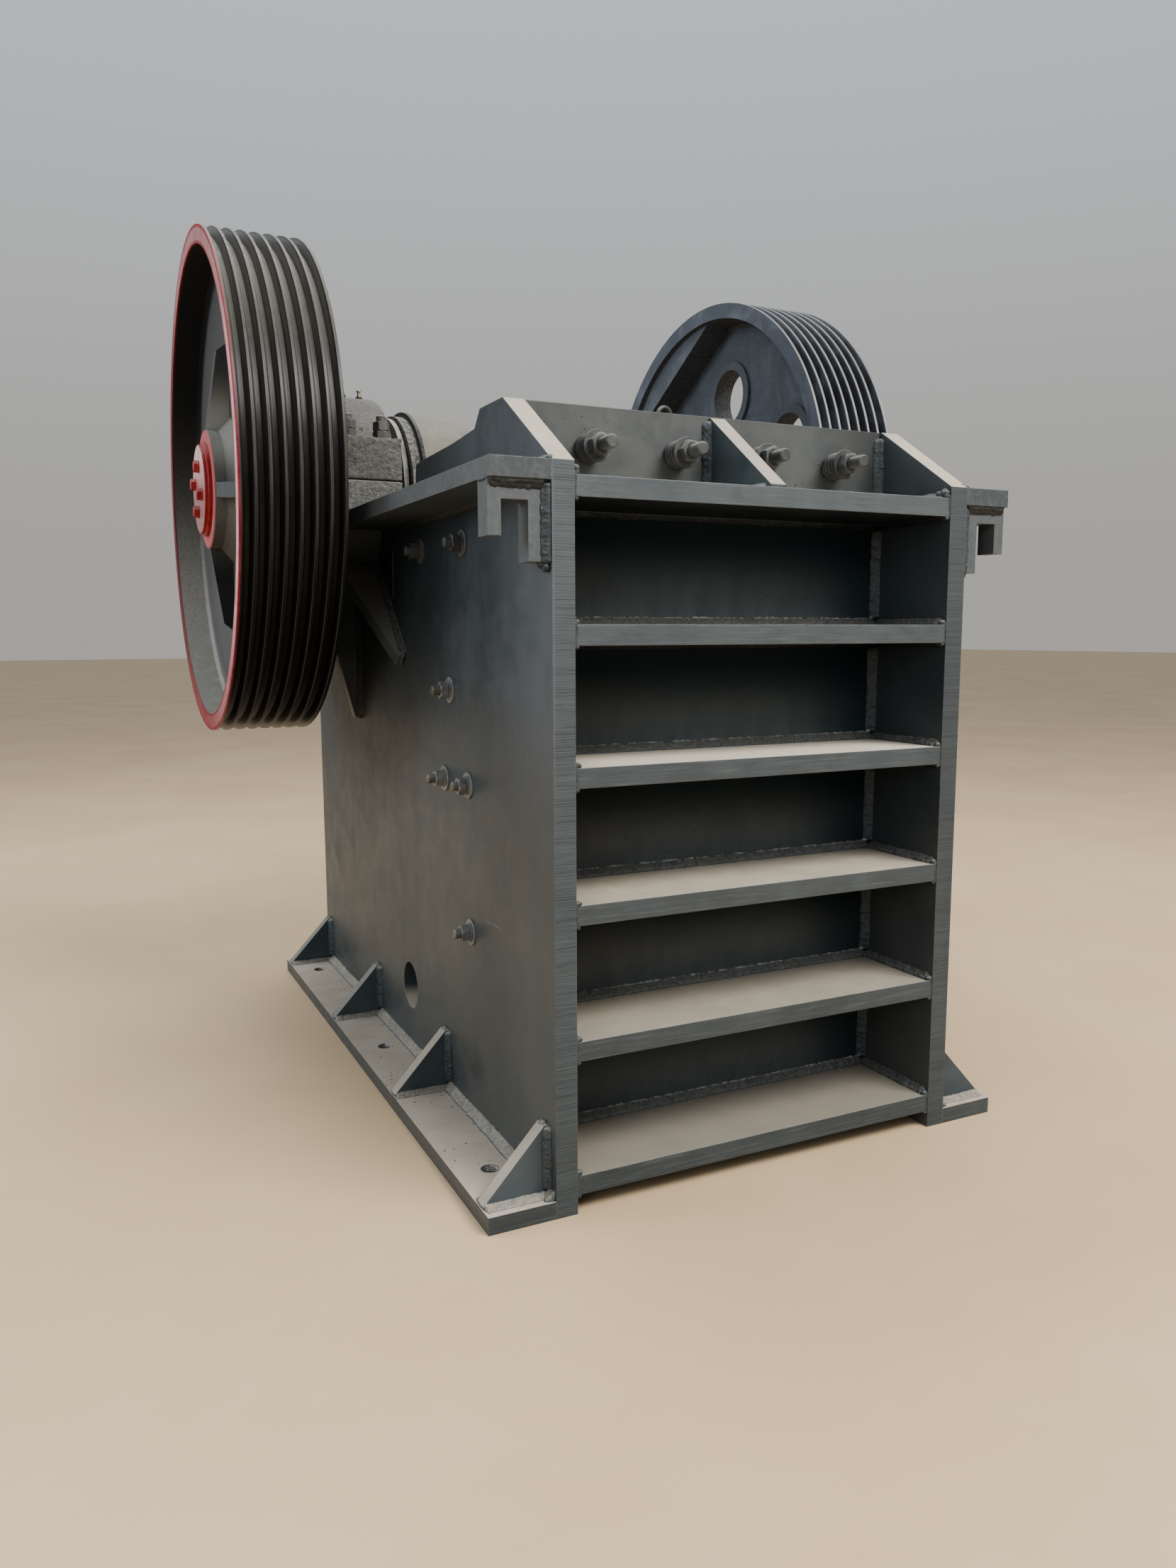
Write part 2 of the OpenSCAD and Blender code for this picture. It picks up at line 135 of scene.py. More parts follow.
class Part:
    """Collects closed shapes into one mesh."""

    def __init__(self):
        self.v, self.f, self.m, self.n = [], [], [], 0

    def add(self, v, faces, mat=0, at=None):
        v = np.asarray(v, float).reshape(-1, 3)
        if at is not None:
            v = v @ at[:3, :3].T + at[:3, 3]
        self.v.append(v)
        for f in faces:
            self.f.append([int(k) + self.n for k in f])
        self.m.extend([mat] * len(faces))
        self.n += len(v)

    def build(self, name, body, mats, slot=None, replaces=(), angle=32, flat=False):
        me = bpy.data.meshes.new(name)
        v = np.concatenate(self.v)
        if name.startswith("weld_"):
            # beads at the front are pressed in, so that they stay behind the front edges of the side plates
            y = v[:, 1] - FRONT
            v[:, 1] = np.where(y < 0.0030, FRONT + 0.0002 + np.maximum(y + 0.0022, 0) * (0.0028 / 0.0052), v[:, 1])
        me.from_pydata(v.tolist(), [], self.f)
        for mt in mats:
            me.materials.append(mt)
        me.polygons.foreach_set("material_index", np.array(self.m, np.int32))
        bm = bmesh.new()
        bm.from_mesh(me)
        bmesh.ops.recalc_face_normals(bm, faces=bm.faces)
        bm.to_mesh(me)
        bm.free()
        if not flat:
            me.polygons.foreach_set("use_smooth", np.ones(len(me.polygons), bool))
            me.set_sharp_from_angle(angle=math.radians(angle))
        me.update()
        ob = bpy.data.objects.new(name, me)
        bpy.context.scene.collection.objects.link(ob)
        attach(ob, body)
        if replaces:
            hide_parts(*replaces)
        return ob


def lathe(profile, seg=48):
    """Closed solid of revolution round local Z. The profile is a closed loop of (r, z), or starts and ends at r = 0."""
    pr = np.array(profile, float)
    t = np.linspace(0, 2 * math.pi, seg, endpoint=False)
    solid = pr[0, 0] < 1e-9 and pr[-1, 0] < 1e-9
    body = pr[1:-1] if solid else pr
    v = np.stack([np.outer(np.cos(t), body[:, 0]), np.outer(np.sin(t), body[:, 0]),
                  np.tile(body[:, 1], (seg, 1))], -1).reshape(-1, 3)
    f = grid_faces(seg, len(body), True, not solid).tolist()
    if solid:
        k = len(v)
        v = np.vstack([v, [[0, 0, pr[0, 1]], [0, 0, pr[-1, 1]]]])
        n = len(body)
        for i in range(seg):
            j = (i + 1) % seg
            f.append([k, j * n, i * n])
            f.append([k + 1, i * n + n - 1, j * n + n - 1])
    return v, f


def hexnut(af, h, bore=0.0, seg=72, top=True, bottom=True):
    """Hexagon with the chamfered corners of a real nut; a bolt head with bore = 0."""
    t = np.linspace(0, 2 * math.pi, seg, endpoint=False)
    rh = (af / 2) / np.cos((t + math.pi / 6) % (math.pi / 3) - math.pi / 6)
    r0 = af / 2 * 0.985
    c = (rh - r0) * math.tan(math.radians(30))
    z0 = c if bottom else np.zeros(seg)
    z1 = h - c if top else np.full(seg, h)
    rows = [(np.full(seg, r0) if bottom else rh, np.zeros(seg)), (rh, z0), (rh, z1),
            (np.full(seg, r0) if top else rh, np.full(seg, h))]
    if bore > 0:
        rows += [(np.full(seg, bore + 0.0015), np.full(seg, h)), (np.full(seg, bore), np.full(seg, h - 0.0015)),
                 (np.full(seg, bore), np.full(seg, 0.0))]
    v = np.stack([np.stack([r * np.cos(t), r * np.sin(t), z], -1) for r, z in rows], 1).reshape(-1, 3)
    n = len(rows)
    f = grid_faces(seg, n, True, bore > 0).tolist()
    if bore <= 0:
        k = len(v)
        v = np.vstack([v, [[0, 0, 0], [0, 0, h]]])
        for i in range(seg):
            j = (i + 1) % seg
            f.append([k, j * n, i * n])
            f.append([k + 1, i * n + n - 1, j * n + n - 1])
    return v, f


def stud(d, z0, z1, pitch=0.0035, depth=0.0011, seg=28, thread_from=None):
    """Round bar from z0 to z1 with a chamfered end and a screw thread above thread_from."""
    r = d / 2
    thread_from = z0 if thread_from is None else thread_from
    zs = [z0] if thread_from > z0 + 1e-6 else []
    n = max(2, int(round((z1 - 0.003 - thread_from) / (pitch / 4))))
    zt = np.linspace(thread_from, z1 - 0.003, n + 1)
    zs = np.concatenate([zs, zt])
    t = np.linspace(0, 2 * math.pi, seg, endpoint=False)
    zz, tt = np.meshgrid(zs, t, indexing="xy")
    ph = ((zz / pitch - tt / (2 * math.pi)) % 1.0)
    cut = depth * np.clip(np.abs(ph - 0.5) * 2.4 - 0.1, 0, 1)
    fade = np.clip((zz - thread_from) / 0.004, 0, 1) * np.clip((z1 - 0.003 - zz) / 0.003 + 0.3, 0, 1)
    rr = r - cut * fade
    v = np.stack([rr * np.cos(tt), rr * np.sin(tt), zz], -1)
    end = np.stack([(r - 0.0032) * np.cos(t), (r - 0.0032) * np.sin(t), np.full(seg, z1)], -1)
    v = np.concatenate([v, end[:, None, :]], 1)
    m = v.shape[1]
    v = v.reshape(-1, 3)
    f = grid_faces(seg, m, True, False).tolist()
    k = len(v)
    v = np.vstack([v, [[0, 0, z0], [0, 0, z1]]])
    for i in range(seg):
        j = (i + 1) % seg
        f.append([k, j * m, i * m])
        f.append([k + 1, i * m + m - 1, j * m + m - 1])
    return v, f


def washer(r_in, r_out, t, seg=48, b=0.0007):
    return lathe([(r_in, b), (r_in + b, 0), (r_out - b, 0), (r_out, b), (r_out, t - b), (r_out - b, t),
                  (r_in + b, t), (r_in, t - b)], seg)


def tube(path, radius, seg=12, caps=True):
    """Round bar along a polyline, kept untwisted."""
    p = np.asarray(path, float)
    n = len(p)
    d = np.gradient(p, axis=0)
    d /= np.linalg.norm(d, axis=1)[:, None]
    up = np.array([0.0, 0, 1]) if abs(d[0][2]) < 0.9 else np.array([1.0, 0, 0])
    t = np.linspace(0, 2 * math.pi, seg, endpoint=False)
    rad = np.broadcast_to(np.asarray(radius, float), (n,))
    rows = []
    for i in range(n):
        x = up - d[i] * up.dot(d[i])
        x /= np.linalg.norm(x)
        y = np.cross(d[i], x)
        up = x
        rows.append(p[i] + rad[i] * (np.outer(np.cos(t), x) + np.outer(np.sin(t), y)))
    v = np.concatenate(rows)
    f = grid_faces(n, seg, False, True).tolist()
    if caps:
        f.append(list(range(seg))[::-1])
        f.append([(n - 1) * seg + k for k in range(seg)])
    return v, f


def coil(mean_r, wire_r, length, turns, flat_turns=0.75, seg=12, per=28):
    """Compression spring round local Z from 0 to length, with closed ends."""
    total = turns + 2 * flat_turns
    n = int(total * per)
    a = np.linspace(0, total, n + 1)
    z0, z1 = wire_r, length - wire_r
    z = np.interp(a, [0, flat_turns * 0.6, total - flat_turns * 0.6, total], [z0, z0 + wire_r * 0.5, z1 - wire_r * 0.5, z1])
    k = np.ones(7) / 7
    z = np.convolve(np.pad(z, 3, mode="edge"), k, mode="valid")
    path = np.stack([mean_r * np.cos(2 * math.pi * a), mean_r * np.sin(2 * math.pi * a), z], -1)
    r = np.full(n + 1, wire_r)
    r[:3], r[-3:] = wire_r * np.array([0.55, 0.8, 0.95]), wire_r * np.array([0.95, 0.8, 0.55])
    return tube(path, r, seg)


def chamfer_box(lo, hi, c=0.002):
    """Box with chamfered edges."""
    lo, hi = np.array(lo, float), np.array(hi, float)
    bm = bmesh.new()
    bmesh.ops.create_cube(bm, size=1.0)
    for v in bm.verts:
        v.co = Vector((lo + hi) / 2 + np.array(v.co) * (hi - lo))
    bmesh.ops.bevel(bm, geom=list(bm.edges), offset=c, segments=2, profile=0.6, affect="EDGES", clamp_overlap=True)
    v = np.array([x.co for x in bm.verts])
    f = [[q.index for q in x.verts] for x in bm.faces]
    bm.free()
    return v, f


def bead(p0, p1, n1, n2, leg=0.012, leg2=None, step=0.0030, seed=1, rough=1.0, ripple=0.0075, bulge=0.03, taper=0.01,
         sink=0.0015, passes=1):
    """Fillet weld from p0 to p1 in the corner between two plates. n1 and n2 are the directions along the two plates,
    away from the corner. The bead is nearly flat, with crescent ripples and ragged toes, and tapers at its ends."""
    p0, p1 = np.array(p0, float), np.array(p1, float)
    n1, n2 = np.array(n1, float), np.array(n2, float)
    leg2 = leg if leg2 is None else leg2
    big = max(leg, leg2)
    length = np.linalg.norm(p1 - p0)
    n = max(4, int(length / step))
    s = np.linspace(0, length, n + 1)
    d = (p1 - p0) / length
    m = 9 if passes == 1 else 6 * passes + 1
    t = np.linspace(0, 1, m)
    S, T = np.meshgrid(s, t, indexing="ij")
    base = p0 + S[..., None] * d
    key = base + 0.8 * big * T[..., None] * n1
    la = 1 + rough * (0.08 * fbm(base, 9, 2, seed) + 0.05 * vnoise(base, 48, seed + 3) + 0.055 * vnoise(base, 150, seed + 4))
    lb = 1 + rough * (0.08 * fbm(base, 11, 2, seed + 31) + 0.05 * vnoise(base, 52, seed + 33) + 0.055 * vnoise(base, 160, seed + 34))
    which = np.minimum((T * passes).astype(int), passes - 1)
    local = T * passes - which
    hump = np.sin(math.pi * local)
    lump = fbm(key, 110, 3, seed + 5)
    fine = vnoise(key, 320, seed + 8)
    pitch = ripple * (1 + 0.10 * vnoise(base, 12, seed + 21))
    phase = (S + 0.75 * big / passes * hump + 0.0016 * lump + which * 0.37 * ripple) / pitch
    saw = phase % 1.0
    rip = np.where(saw < 0.66, saw / 0.66, (1 - saw) / 0.34) - 0.5
    ends = np.clip(np.minimum(S, length - S) / max(taper, 1e-6), 0.0, 1.0) ** 0.5 if taper > 0 else 1.0
    ends = 0.35 + 0.65 * ends
    a, b = leg * la * (1 - T) * ends, leg2 * lb * T * ends
    body = np.sin(math.pi * T)
    inner = 0.4 + 0.6 * body
    out = (big * bulge * body + rough * (0.0014 * lump + 0.0006 * fine) * inner + 0.0019 * rip * inner
           + (0.0010 * (hump - 0.6) * body if passes > 1 else 0)) * ends
    nn = (n1 + n2) / np.linalg.norm(n1 + n2)
    pts = base + a[..., None] * n1 + b[..., None] * n2 + out[..., None] * nn
    pts[:, 0] -= n2 * sink * 0.7
    pts[:, -1] -= n1 * sink * 0.7
    back = (base[:, 0] - (n1 + n2) * sink)[:, None, :]
    v = np.concatenate([pts, back], 1)
    k = m + 1
    f = grid_faces(n + 1, k, False, True).tolist()
    f.append(list(range(k))[::-1])
    f.append([n * k + j for j in range(k)])
    return v.reshape(-1, 3), f


def blob(c, r, seed, squash=(1, 1, 1)):
    """Small lump of weld metal."""
    u, w = np.linspace(0, 2 * math.pi, 10, endpoint=False), np.linspace(0, math.pi, 7)[1:-1]
    U, Wv = np.meshgrid(u, w, indexing="ij")
    d = np.stack([np.cos(U) * np.sin(Wv), np.sin(U) * np.sin(Wv), np.cos(Wv)], -1).reshape(-1, 3)
    d = np.vstack([d, [[0, 0, 1], [0, 0, -1]]])
    rr = r * (1 + 0.28 * vnoise(d + seed, 1.7, seed))
    v = np.array(c) + d * rr[:, None] * np.array(squash)
    n = len(w)
    f = grid_faces(10, n, True, False).tolist()
    k = len(d) - 2
    for i in range(10):
        j = (i + 1) % 10
        f.append([k, i * n, j * n])
        f.append([k + 1, j * n + n - 1, i * n + n - 1])
    return v, f


# ---------------------------------------------------------------------------
# materials
# ---------------------------------------------------------------------------
class Nodes:
    def __init__(self, name):
        self.mat = bpy.data.materials.new(name)
        self.mat.use_nodes = True
        self.t = self.mat.node_tree
        self.t.nodes.clear()
        out = self.t.nodes.new("ShaderNodeOutputMaterial")
        self.b = self.t.nodes.new("ShaderNodeBsdfPrincipled")
        self.t.links.new(self.b.outputs[0], out.inputs[0])
        self._p = None
        self._g = None

    def new(self, kind, **kw):
        n = self.t.nodes.new(kind)
        for k, v in kw.items():
            setattr(n, k, v)
        return n

    def put(self, sock, v):
        if isinstance(v, bpy.types.NodeSocket):
            self.t.links.new(v, sock)
        elif isinstance(v, (tuple, list)):
            v = tuple(v)
            if sock.type == "RGBA" and len(v) == 3:
                v = v + (1.0,)
            sock.default_value = v
        else:
            sock.default_value = v

    @property
    def P(self):
        if self._p is None:
            self._p = self.new("ShaderNodeTexCoord").outputs["Object"]
        return self._p

    @property
    def N(self):
        if self._g is None:
            self._g = self.new("ShaderNodeNewGeometry")
        return self._g.outputs["Normal"]

    def scaled(self, s, loc=(0, 0, 0), vec=None):
        n = self.new("ShaderNodeMapping")
        self.put(n.inputs["Vector"], vec if vec is not None else self.P)
        n.inputs["Scale"].default_value = s if isinstance(s, (tuple, list)) else (s, s, s)
        n.inputs["Location"].default_value = loc
        return n.outputs[0]

    def noise(self, scale=5.0, detail=3.0, rough=0.55, dist=0.0, vec=None, stretch=None, loc=(0, 0, 0)):
        n = self.new("ShaderNodeTexNoise")
        v = vec if vec is not None else self.P
        if stretch is not None or loc != (0, 0, 0):
            v = self.scaled(stretch or (1, 1, 1), loc, v)
        self.put(n.inputs["Vector"], v)
        n.inputs["Scale"].default_value = scale
        n.inputs["Detail"].default_value = detail
        n.inputs["Roughness"].default_value = rough
        n.inputs["Distortion"].default_value = dist
        return n.outputs["Fac"]

    def voronoi(self, scale, feature="F1", vec=None, stretch=None, rnd=1.0):
        n = self.new("ShaderNodeTexVoronoi", feature=feature)
        v = vec if vec is not None else self.P
        if stretch:
            v = self.scaled(stretch, (0, 0, 0), v)
        self.put(n.inputs["Vector"], v)
        n.inputs["Scale"].default_value = scale
        n.inputs["Randomness"].default_value = rnd
        return n.outputs["Distance"]

    def math(self, op, a, b=0.0, clamp=False):
        n = self.new("ShaderNodeMath", operation=op, use_clamp=clamp)
        self.put(n.inputs[0], a)
        self.put(n.inputs[1], b)
        return n.outputs[0]

    def rng(self, v, a, b, c=0.0, d=1.0, smooth=True):
        n = self.new("ShaderNodeMapRange", interpolation_type="SMOOTHSTEP" if smooth else "LINEAR")
        self.put(n.inputs[0], v)
        for i, x in zip((1, 2, 3, 4), (a, b, c, d)):
            n.inputs[i].default_value = x
        return n.outputs[0]

    def mix(self, fac, a, b, blend="MIX"):
        n = self.new("ShaderNodeMix", data_type="RGBA", blend_type=blend, clamp_factor=True)
        self.put(n.inputs[0], fac)
        self.put(n.inputs[6], a)
        self.put(n.inputs[7], b)
        return n.outputs[2]

    def sep(self, v):
        n = self.new("ShaderNodeSeparateXYZ")
        self.put(n.inputs[0], v)
        return n.outputs

    def bump(self, height, dist, strength=1.0, normal=None):
        n = self.new("ShaderNodeBump")
        n.inputs["Strength"].default_value = strength
        n.inputs["Distance"].default_value = dist
        self.put(n.inputs["Height"], height)
        if normal is not None:
            self.put(n.inputs["Normal"], normal)
        return n.outputs[0]

    def bevel(self, radius=0.002, samples=4):
        n = self.new("ShaderNodeBevel")
        n.samples = samples
        n.inputs["Radius"].default_value = radius
        return n.outputs[0]

    def dot(self, a, b):
        n = self.new("ShaderNodeVectorMath", operation="DOT_PRODUCT")
        self.put(n.inputs[0], a)
        self.put(n.inputs[1], b)
        return n.outputs["Value"]

    def radius(self):
        """Distance from the shaft axis, and distance |x| along it."""
        x, y, z = self.sep(self.P)
        dy = self.math("SUBTRACT", y, AX_Y)
        dz = self.math("SUBTRACT", z, AX_Z)
        r = self.math("SQRT", self.math("ADD", self.math("MULTIPLY", dy, dy), self.math("MULTIPLY", dz, dz)))
        return r, self.math("ABSOLUTE", x), dy, dz


DUST = (0.41, 0.366, 0.305)
DARK = (0.0285, 0.0365, 0.0405)
LIGHT = (0.044, 0.0545, 0.0590)


def frame_paint(name, dust=1.0, streaks=0.0, cut=False, seed=0.0, warm=0.0, edge=0.5, bevel=0.0022, light=1.0, weld=False,
                rough=0.42, even=0.8, specks=0.0, marks=False, tint=None, film=0.07, dust_light_layers=None, recess_dust_and_shade=False, top_front_light=0.0,
                dustc=DUST, mottle=0.0, brush=0.0, cold=0.0, fade=1.0, under=0.0, below=0.0):
    """Slate grey enamel over plate, with dust on what faces up, worn edges, the marks of rolling and cutting, and
    painted light and shade in places.
    """
    n = Nodes(name)
    off = (seed * 3.1, seed * 1.7, seed * 2.3)
    big = n.noise(1.7, 3, 0.5, loc=off)
    mid = n.noise(11, 4, 0.6, 0.4, loc=off)
    fine = n.noise(90, 3, 0.6, loc=off)
    k = n.math("ADD", n.math("MULTIPLY", big, 0.84 if marks else 0.55), n.math("MULTIPLY", mid, 0.16 if marks else 0.45))
    # light scales the enamel's tone per part: these lighter and darker copies of one enamel are painted light and shade
    dark, lit = tuple(c * light for c in DARK), tuple(c * light for c in LIGHT)
    col = n.mix(n.rng(k, 0.32, 0.68), dark, lit)
    x, y, z = n.sep(n.P)
    nx, ny, nz = n.sep(n.N)
    rgh = n.rng(mid, 0.3, 0.75, rough - 0.07, rough + 0.10, False)
    height = n.math("MULTIPLY", fine, 0.35)
    height = n.math("ADD", height, n.math("MULTIPLY", mid, 0.9))
    if streaks > 0:
        st = n.noise(6.0, 3, 0.55, 0.1, stretch=(3.2, 3.2, 0.06), loc=off)
        st2 = n.noise(26.0, 3, 0.6, stretch=(2.0, 2.0, 0.05), loc=off)
        st = n.math("ADD", n.math("MULTIPLY", st, 0.7), n.math("MULTIPLY", st2, 0.3))
        col = n.mix(n.math("MULTIPLY", n.rng(st, 0.42, 0.72), 0.30 * streaks), col, (0.085, 0.084, 0.078))
        rgh = n.math("ADD", rgh, n.math("MULTIPLY", n.rng(st, 0.35, 0.65, -0.04, 0.04, False), streaks))
    if warm > 0:
        low = n.math("MULTIPLY", n.rng(z, 1.15, 0.1), n.rng(mid, 0.3, 0.6, 0.75, 1.0))
        low = n.math("MULTIPLY", low, n.rng(n.math("ABSOLUTE", nx), 0.5, 0.9))
        cloud = n.rng(n.noise(2.3, 3, 0.55, 0.4, loc=(5, 2, 9)), 0.34, 0.62, 0.35, 1.0)
        col = n.mix(n.math("MULTIPLY", n.math("MULTIPLY", low, cloud), warm), col, (0.096, 0.091, 0.077))
    # thin film of dust everywhere, in cloudy patches
    haze = n.rng(n.noise(3.2, 6, 0.62, 0.6, loc=off), 0.42, 0.74, 0.0, film)
    col = n.mix(haze, col, (0.19, 0.185, 0.170))
    if top_front_light > 0:
        # painted light: the front faces get lighter towards the top
        col = n.mix(n.math("MULTIPLY", n.rng(z, 0.2, 1.5, 0.0, top_front_light, False), n.rng(ny, -0.5, -0.9)), col, (0.150, 0.160, 0.165))
    if recess_dust_and_shade:
        # the part that stands above the top rib is lighter and greyer: rubbed dust and painted light
        at_front = n.rng(y, 0.0, -0.1)
        rub_and_light = n.math("MULTIPLY", n.rng(z, 1.548, 1.552), n.rng(n.noise(9, 5, 0.65, 0.8, loc=(3, 6, 2)), 0.30, 0.62, 0.62, 1.0))
        col = n.mix(n.math("MULTIPLY", rub_and_light, 0.80), col, (0.106, 0.104, 0.095))
        # lighter low in each recess, above the rib: settled dust and painted light
        low_dust_and_light = None
        for top in RIBS[1:]:
            one = n.math("MULTIPLY", n.rng(z, top - 0.01, top), n.rng(z, top + 0.20, top + 0.005))
            low_dust_and_light = one if low_dust_and_light is None else n.math("ADD", low_dust_and_light, one)
        low_dust_and_light = n.math("MULTIPLY", low_dust_and_light, n.rng(n.noise(14, 4, 0.6, 0.3, stretch=(1.6, 1.6, 0.5)), 0.25, 0.65, 0.55, 1.0))
        low_dust_and_light = n.math("MULTIPLY", n.math("MULTIPLY", low_dust_and_light, at_front), n.rng(x, 0.47, 0.28))
        col = n.mix(n.math("MULTIPLY", low_dust_and_light, 0.82), col, (0.142, 0.149, 0.147))
        # painted shade: the front wall darkens towards its right inner corner
        col = n.mix(n.math("MULTIPLY", n.rng(x, 0.20, 0.47, 0.0, 0.5), at_front), col, (0.011, 0.013, 0.015))
        # painted shade: darker, with weaker specular, in the top of each recess under the rib above
        shade = None
        for top in [WALL_TOP + 0.2] + RIBS[:-1]:
            one = n.math("MULTIPLY", n.rng(z, top - RIB_T + 0.01, top - RIB_T), n.rng(z, top - RIB_T - 0.185, top - RIB_T - 0.045))
            shade = one if shade is None else n.math("ADD", shade, one)
        shade = n.math("MULTIPLY", shade, at_front)
        col = n.mix(n.math("MULTIPLY", shade, 0.82), col, (0.004, 0.008, 0.012))
        n.put(n.b.inputs["Specular IOR Level"], n.math("SUBTRACT", 0.5, n.math("MULTIPLY", shade, 0.40)))
    if brush > 0:
        # fine drag marks along the ribs' front faces
        bl = n.noise(1.0, 4, 0.75, 0.15, stretch=(7.0, 7.0, 330.0), loc=(3, 1, 4))
        bb = n.noise(14, 5, 0.7, 0.6, stretch=(0.5, 1.0, 1.6), loc=(8, 1, 4))
        bf = n.math("MULTIPLY", n.rng(n.math("ABSOLUTE", ny), 0.6, 0.9), brush)
        col = n.mix(n.math("MULTIPLY", n.rng(bl, 0.48, 0.72, 0.0, 0.55), bf), col, (0.130, 0.137, 0.133))
        col = n.mix(n.math("MULTIPLY", n.rng(bb, 0.50, 0.34, 0.0, 0.22), bf), col, (0.030, 0.036, 0.037))
        height = n.math("ADD", height, n.math("MULTIPLY", n.math("MULTIPLY", bl, bf), 1.6))
    if cold > 0:
        col = n.mix(n.rng(z, 1.545, 1.555, cold, 0.0, False), col, (0.020, 0.037, 0.044))
    if mottle > 0:
        mo = n.noise(95, 4, 0.75, 0.3, stretch=(1.0, 1.0, 0.7), loc=(6, 2, 1))
        rough_face = n.math("MULTIPLY", n.rng(n.math("ABSOLUTE", nz), 0.6, 0.3), mottle)
        col = n.mix(n.math("MULTIPLY", n.rng(mo, 0.48, 0.68), rough_face), col, (0.124, 0.124, 0.118))
        col = n.mix(n.math("MULTIPLY", n.rng(mo, 0.48, 0.36), rough_face), col, (0.034, 0.036, 0.035))
        height = n.math("ADD", height, n.math("MULTIPLY", n.math("MULTIPLY", mo, rough_face), 4.0))
        rgh = n.math("ADD", rgh, n.math("MULTIPLY", rough_face, 0.12))
    if tint is not None:
        col = n.mix(n.math("MULTIPLY", n.rng(n.noise(20, 5, 0.7, loc=(2, 8, 1)), 0.30, 0.70, 0.35, 0.75), 0.8), col, tint)
    # flecks and spatter
    fl = n.rng(n.voronoi(75, stretch=(1, 1, 1)), 0.05, 0.09, 1.0, 0.0)
    fl = n.math("MULTIPLY", fl, n.rng(n.noise(9, 2, 0.5, loc=(4, 5, 6)), 0.56, 0.66))
    col = n.mix(n.math("MULTIPLY", fl, 0.35), col, (0.20, 0.20, 0.19))
    if cut:
        # front edges of the thick plates keep the lines of the flame cut
        face = n.math("MULTIPLY", n.rng(ny, -0.80, -0.97), n.rng(y, -1.050, -1.0565))
        lines = n.noise(1.0, 3, 0.7, 0.0, stretch=(5.0, 5.0, 430.0))
        wide = n.noise(1.0, 4, 0.8, 0.0, stretch=(5.0, 5.0, 165.0))
        drag = n.math("ADD", n.math("MULTIPLY", z, 1120.0), n.math("MULTIPLY", n.noise(1.0, 3, 0.6, 0.0, stretch=(9.0, 9.0, 34.0)), 16.0))
        drag = n.math("MULTIPLY", n.math("SINE", drag), 0.055)
        mixl = n.math("ADD", n.math("ADD", n.math("MULTIPLY", lines, 0.46), n.math("MULTIPLY", wide, 0.56)), drag)
        height = n.math("ADD", height, n.math("MULTIPLY", n.math("MULTIPLY", mixl, face), 2.6))
        col = n.mix(n.math("MULTIPLY", face, n.rng(mixl, 0.46, 0.66, 0.08, 0.42)), col, (0.108, 0.121, 0.125))
        col = n.mix(n.math("MULTIPLY", face, n.rng(mixl, 0.49, 0.38, 0.0, 0.52)), col, (0.024, 0.031, 0.035))
        # painted shade: the right post is a little darker
        col = n.mix(n.math("MULTIPLY", n.math("MULTIPLY", face, n.rng(x, 0.40, 0.50)), n.rng(z, 0.30, 0.80, 0.12, 0.34)), col, (0.026, 0.032, 0.035))
        rgh = n.math("ADD", rgh, n.math("MULTIPLY", face, 0.08))
    if marks:
        # a few long scratches in the paint of the near side plate
        left = n.rng(x, -0.530, -0.536)
        for cy, cz, r0, w, y0, y1, k in ((-0.73, 0.10, 0.462, 0.0011, -0.78, -0.655, 0.5), (-0.30, 2.20, 1.105, 0.0010, -0.50, -0.24, 0.28),
                                         (0.55, 0.30, 0.700, 0.0012, 0.05, 0.30, 0.22), (-1.60, 1.30, 0.790, 0.0009, -0.90, -0.80, 0.25)):
            dy, dz = n.math("SUBTRACT", y, cy), n.math("SUBTRACT", z, cz)
            rr = n.math("SQRT", n.math("ADD", n.math("MULTIPLY", dy, dy), n.math("MULTIPLY", dz, dz)))
            line = n.rng(n.math("ABSOLUTE", n.math("SUBTRACT", rr, r0)), w, 0.0, 0.0, 1.0)
            span = n.math("MULTIPLY", n.rng(y, y0, y0 + 0.03), n.rng(y, y1, y1 - 0.03))
            line = n.math("MULTIPLY", n.math("MULTIPLY", line, span), n.math("MULTIPLY", left, n.rng(n.noise(60, 3, 0.6), 0.35, 0.6)))
            col = n.mix(n.math("MULTIPLY", line, k), col, (0.42, 0.42, 0.40))
    if marks:
        # painted sheen: the near side plate is lighter towards its front edge, from about z 0.75 up
        near = n.math("MULTIPLY", n.rng(y, -0.62, -1.02), n.math("MULTIPLY", n.rng(z, 0.75, 1.20), n.rng(x, -0.530, -0.536)))
        near = n.math("MULTIPLY", near, n.rng(z, 1.550, 1.590, 1.0, 0.72))
        col = n.mix(n.math("MULTIPLY", near, 0.70), col, (0.101, 0.112, 0.125))
        # painted shade: darker high on the side plate, under the flange and behind the front edge
        high = n.math("MULTIPLY", n.rng(z, 1.10, 1.50), n.math("MULTIPLY", n.rng(y, -0.95, -0.55), n.rng(z, 1.560, 1.535)))
        col = n.mix(n.math("MULTIPLY", high, 0.40), col, (0.012, 0.018, 0.029))
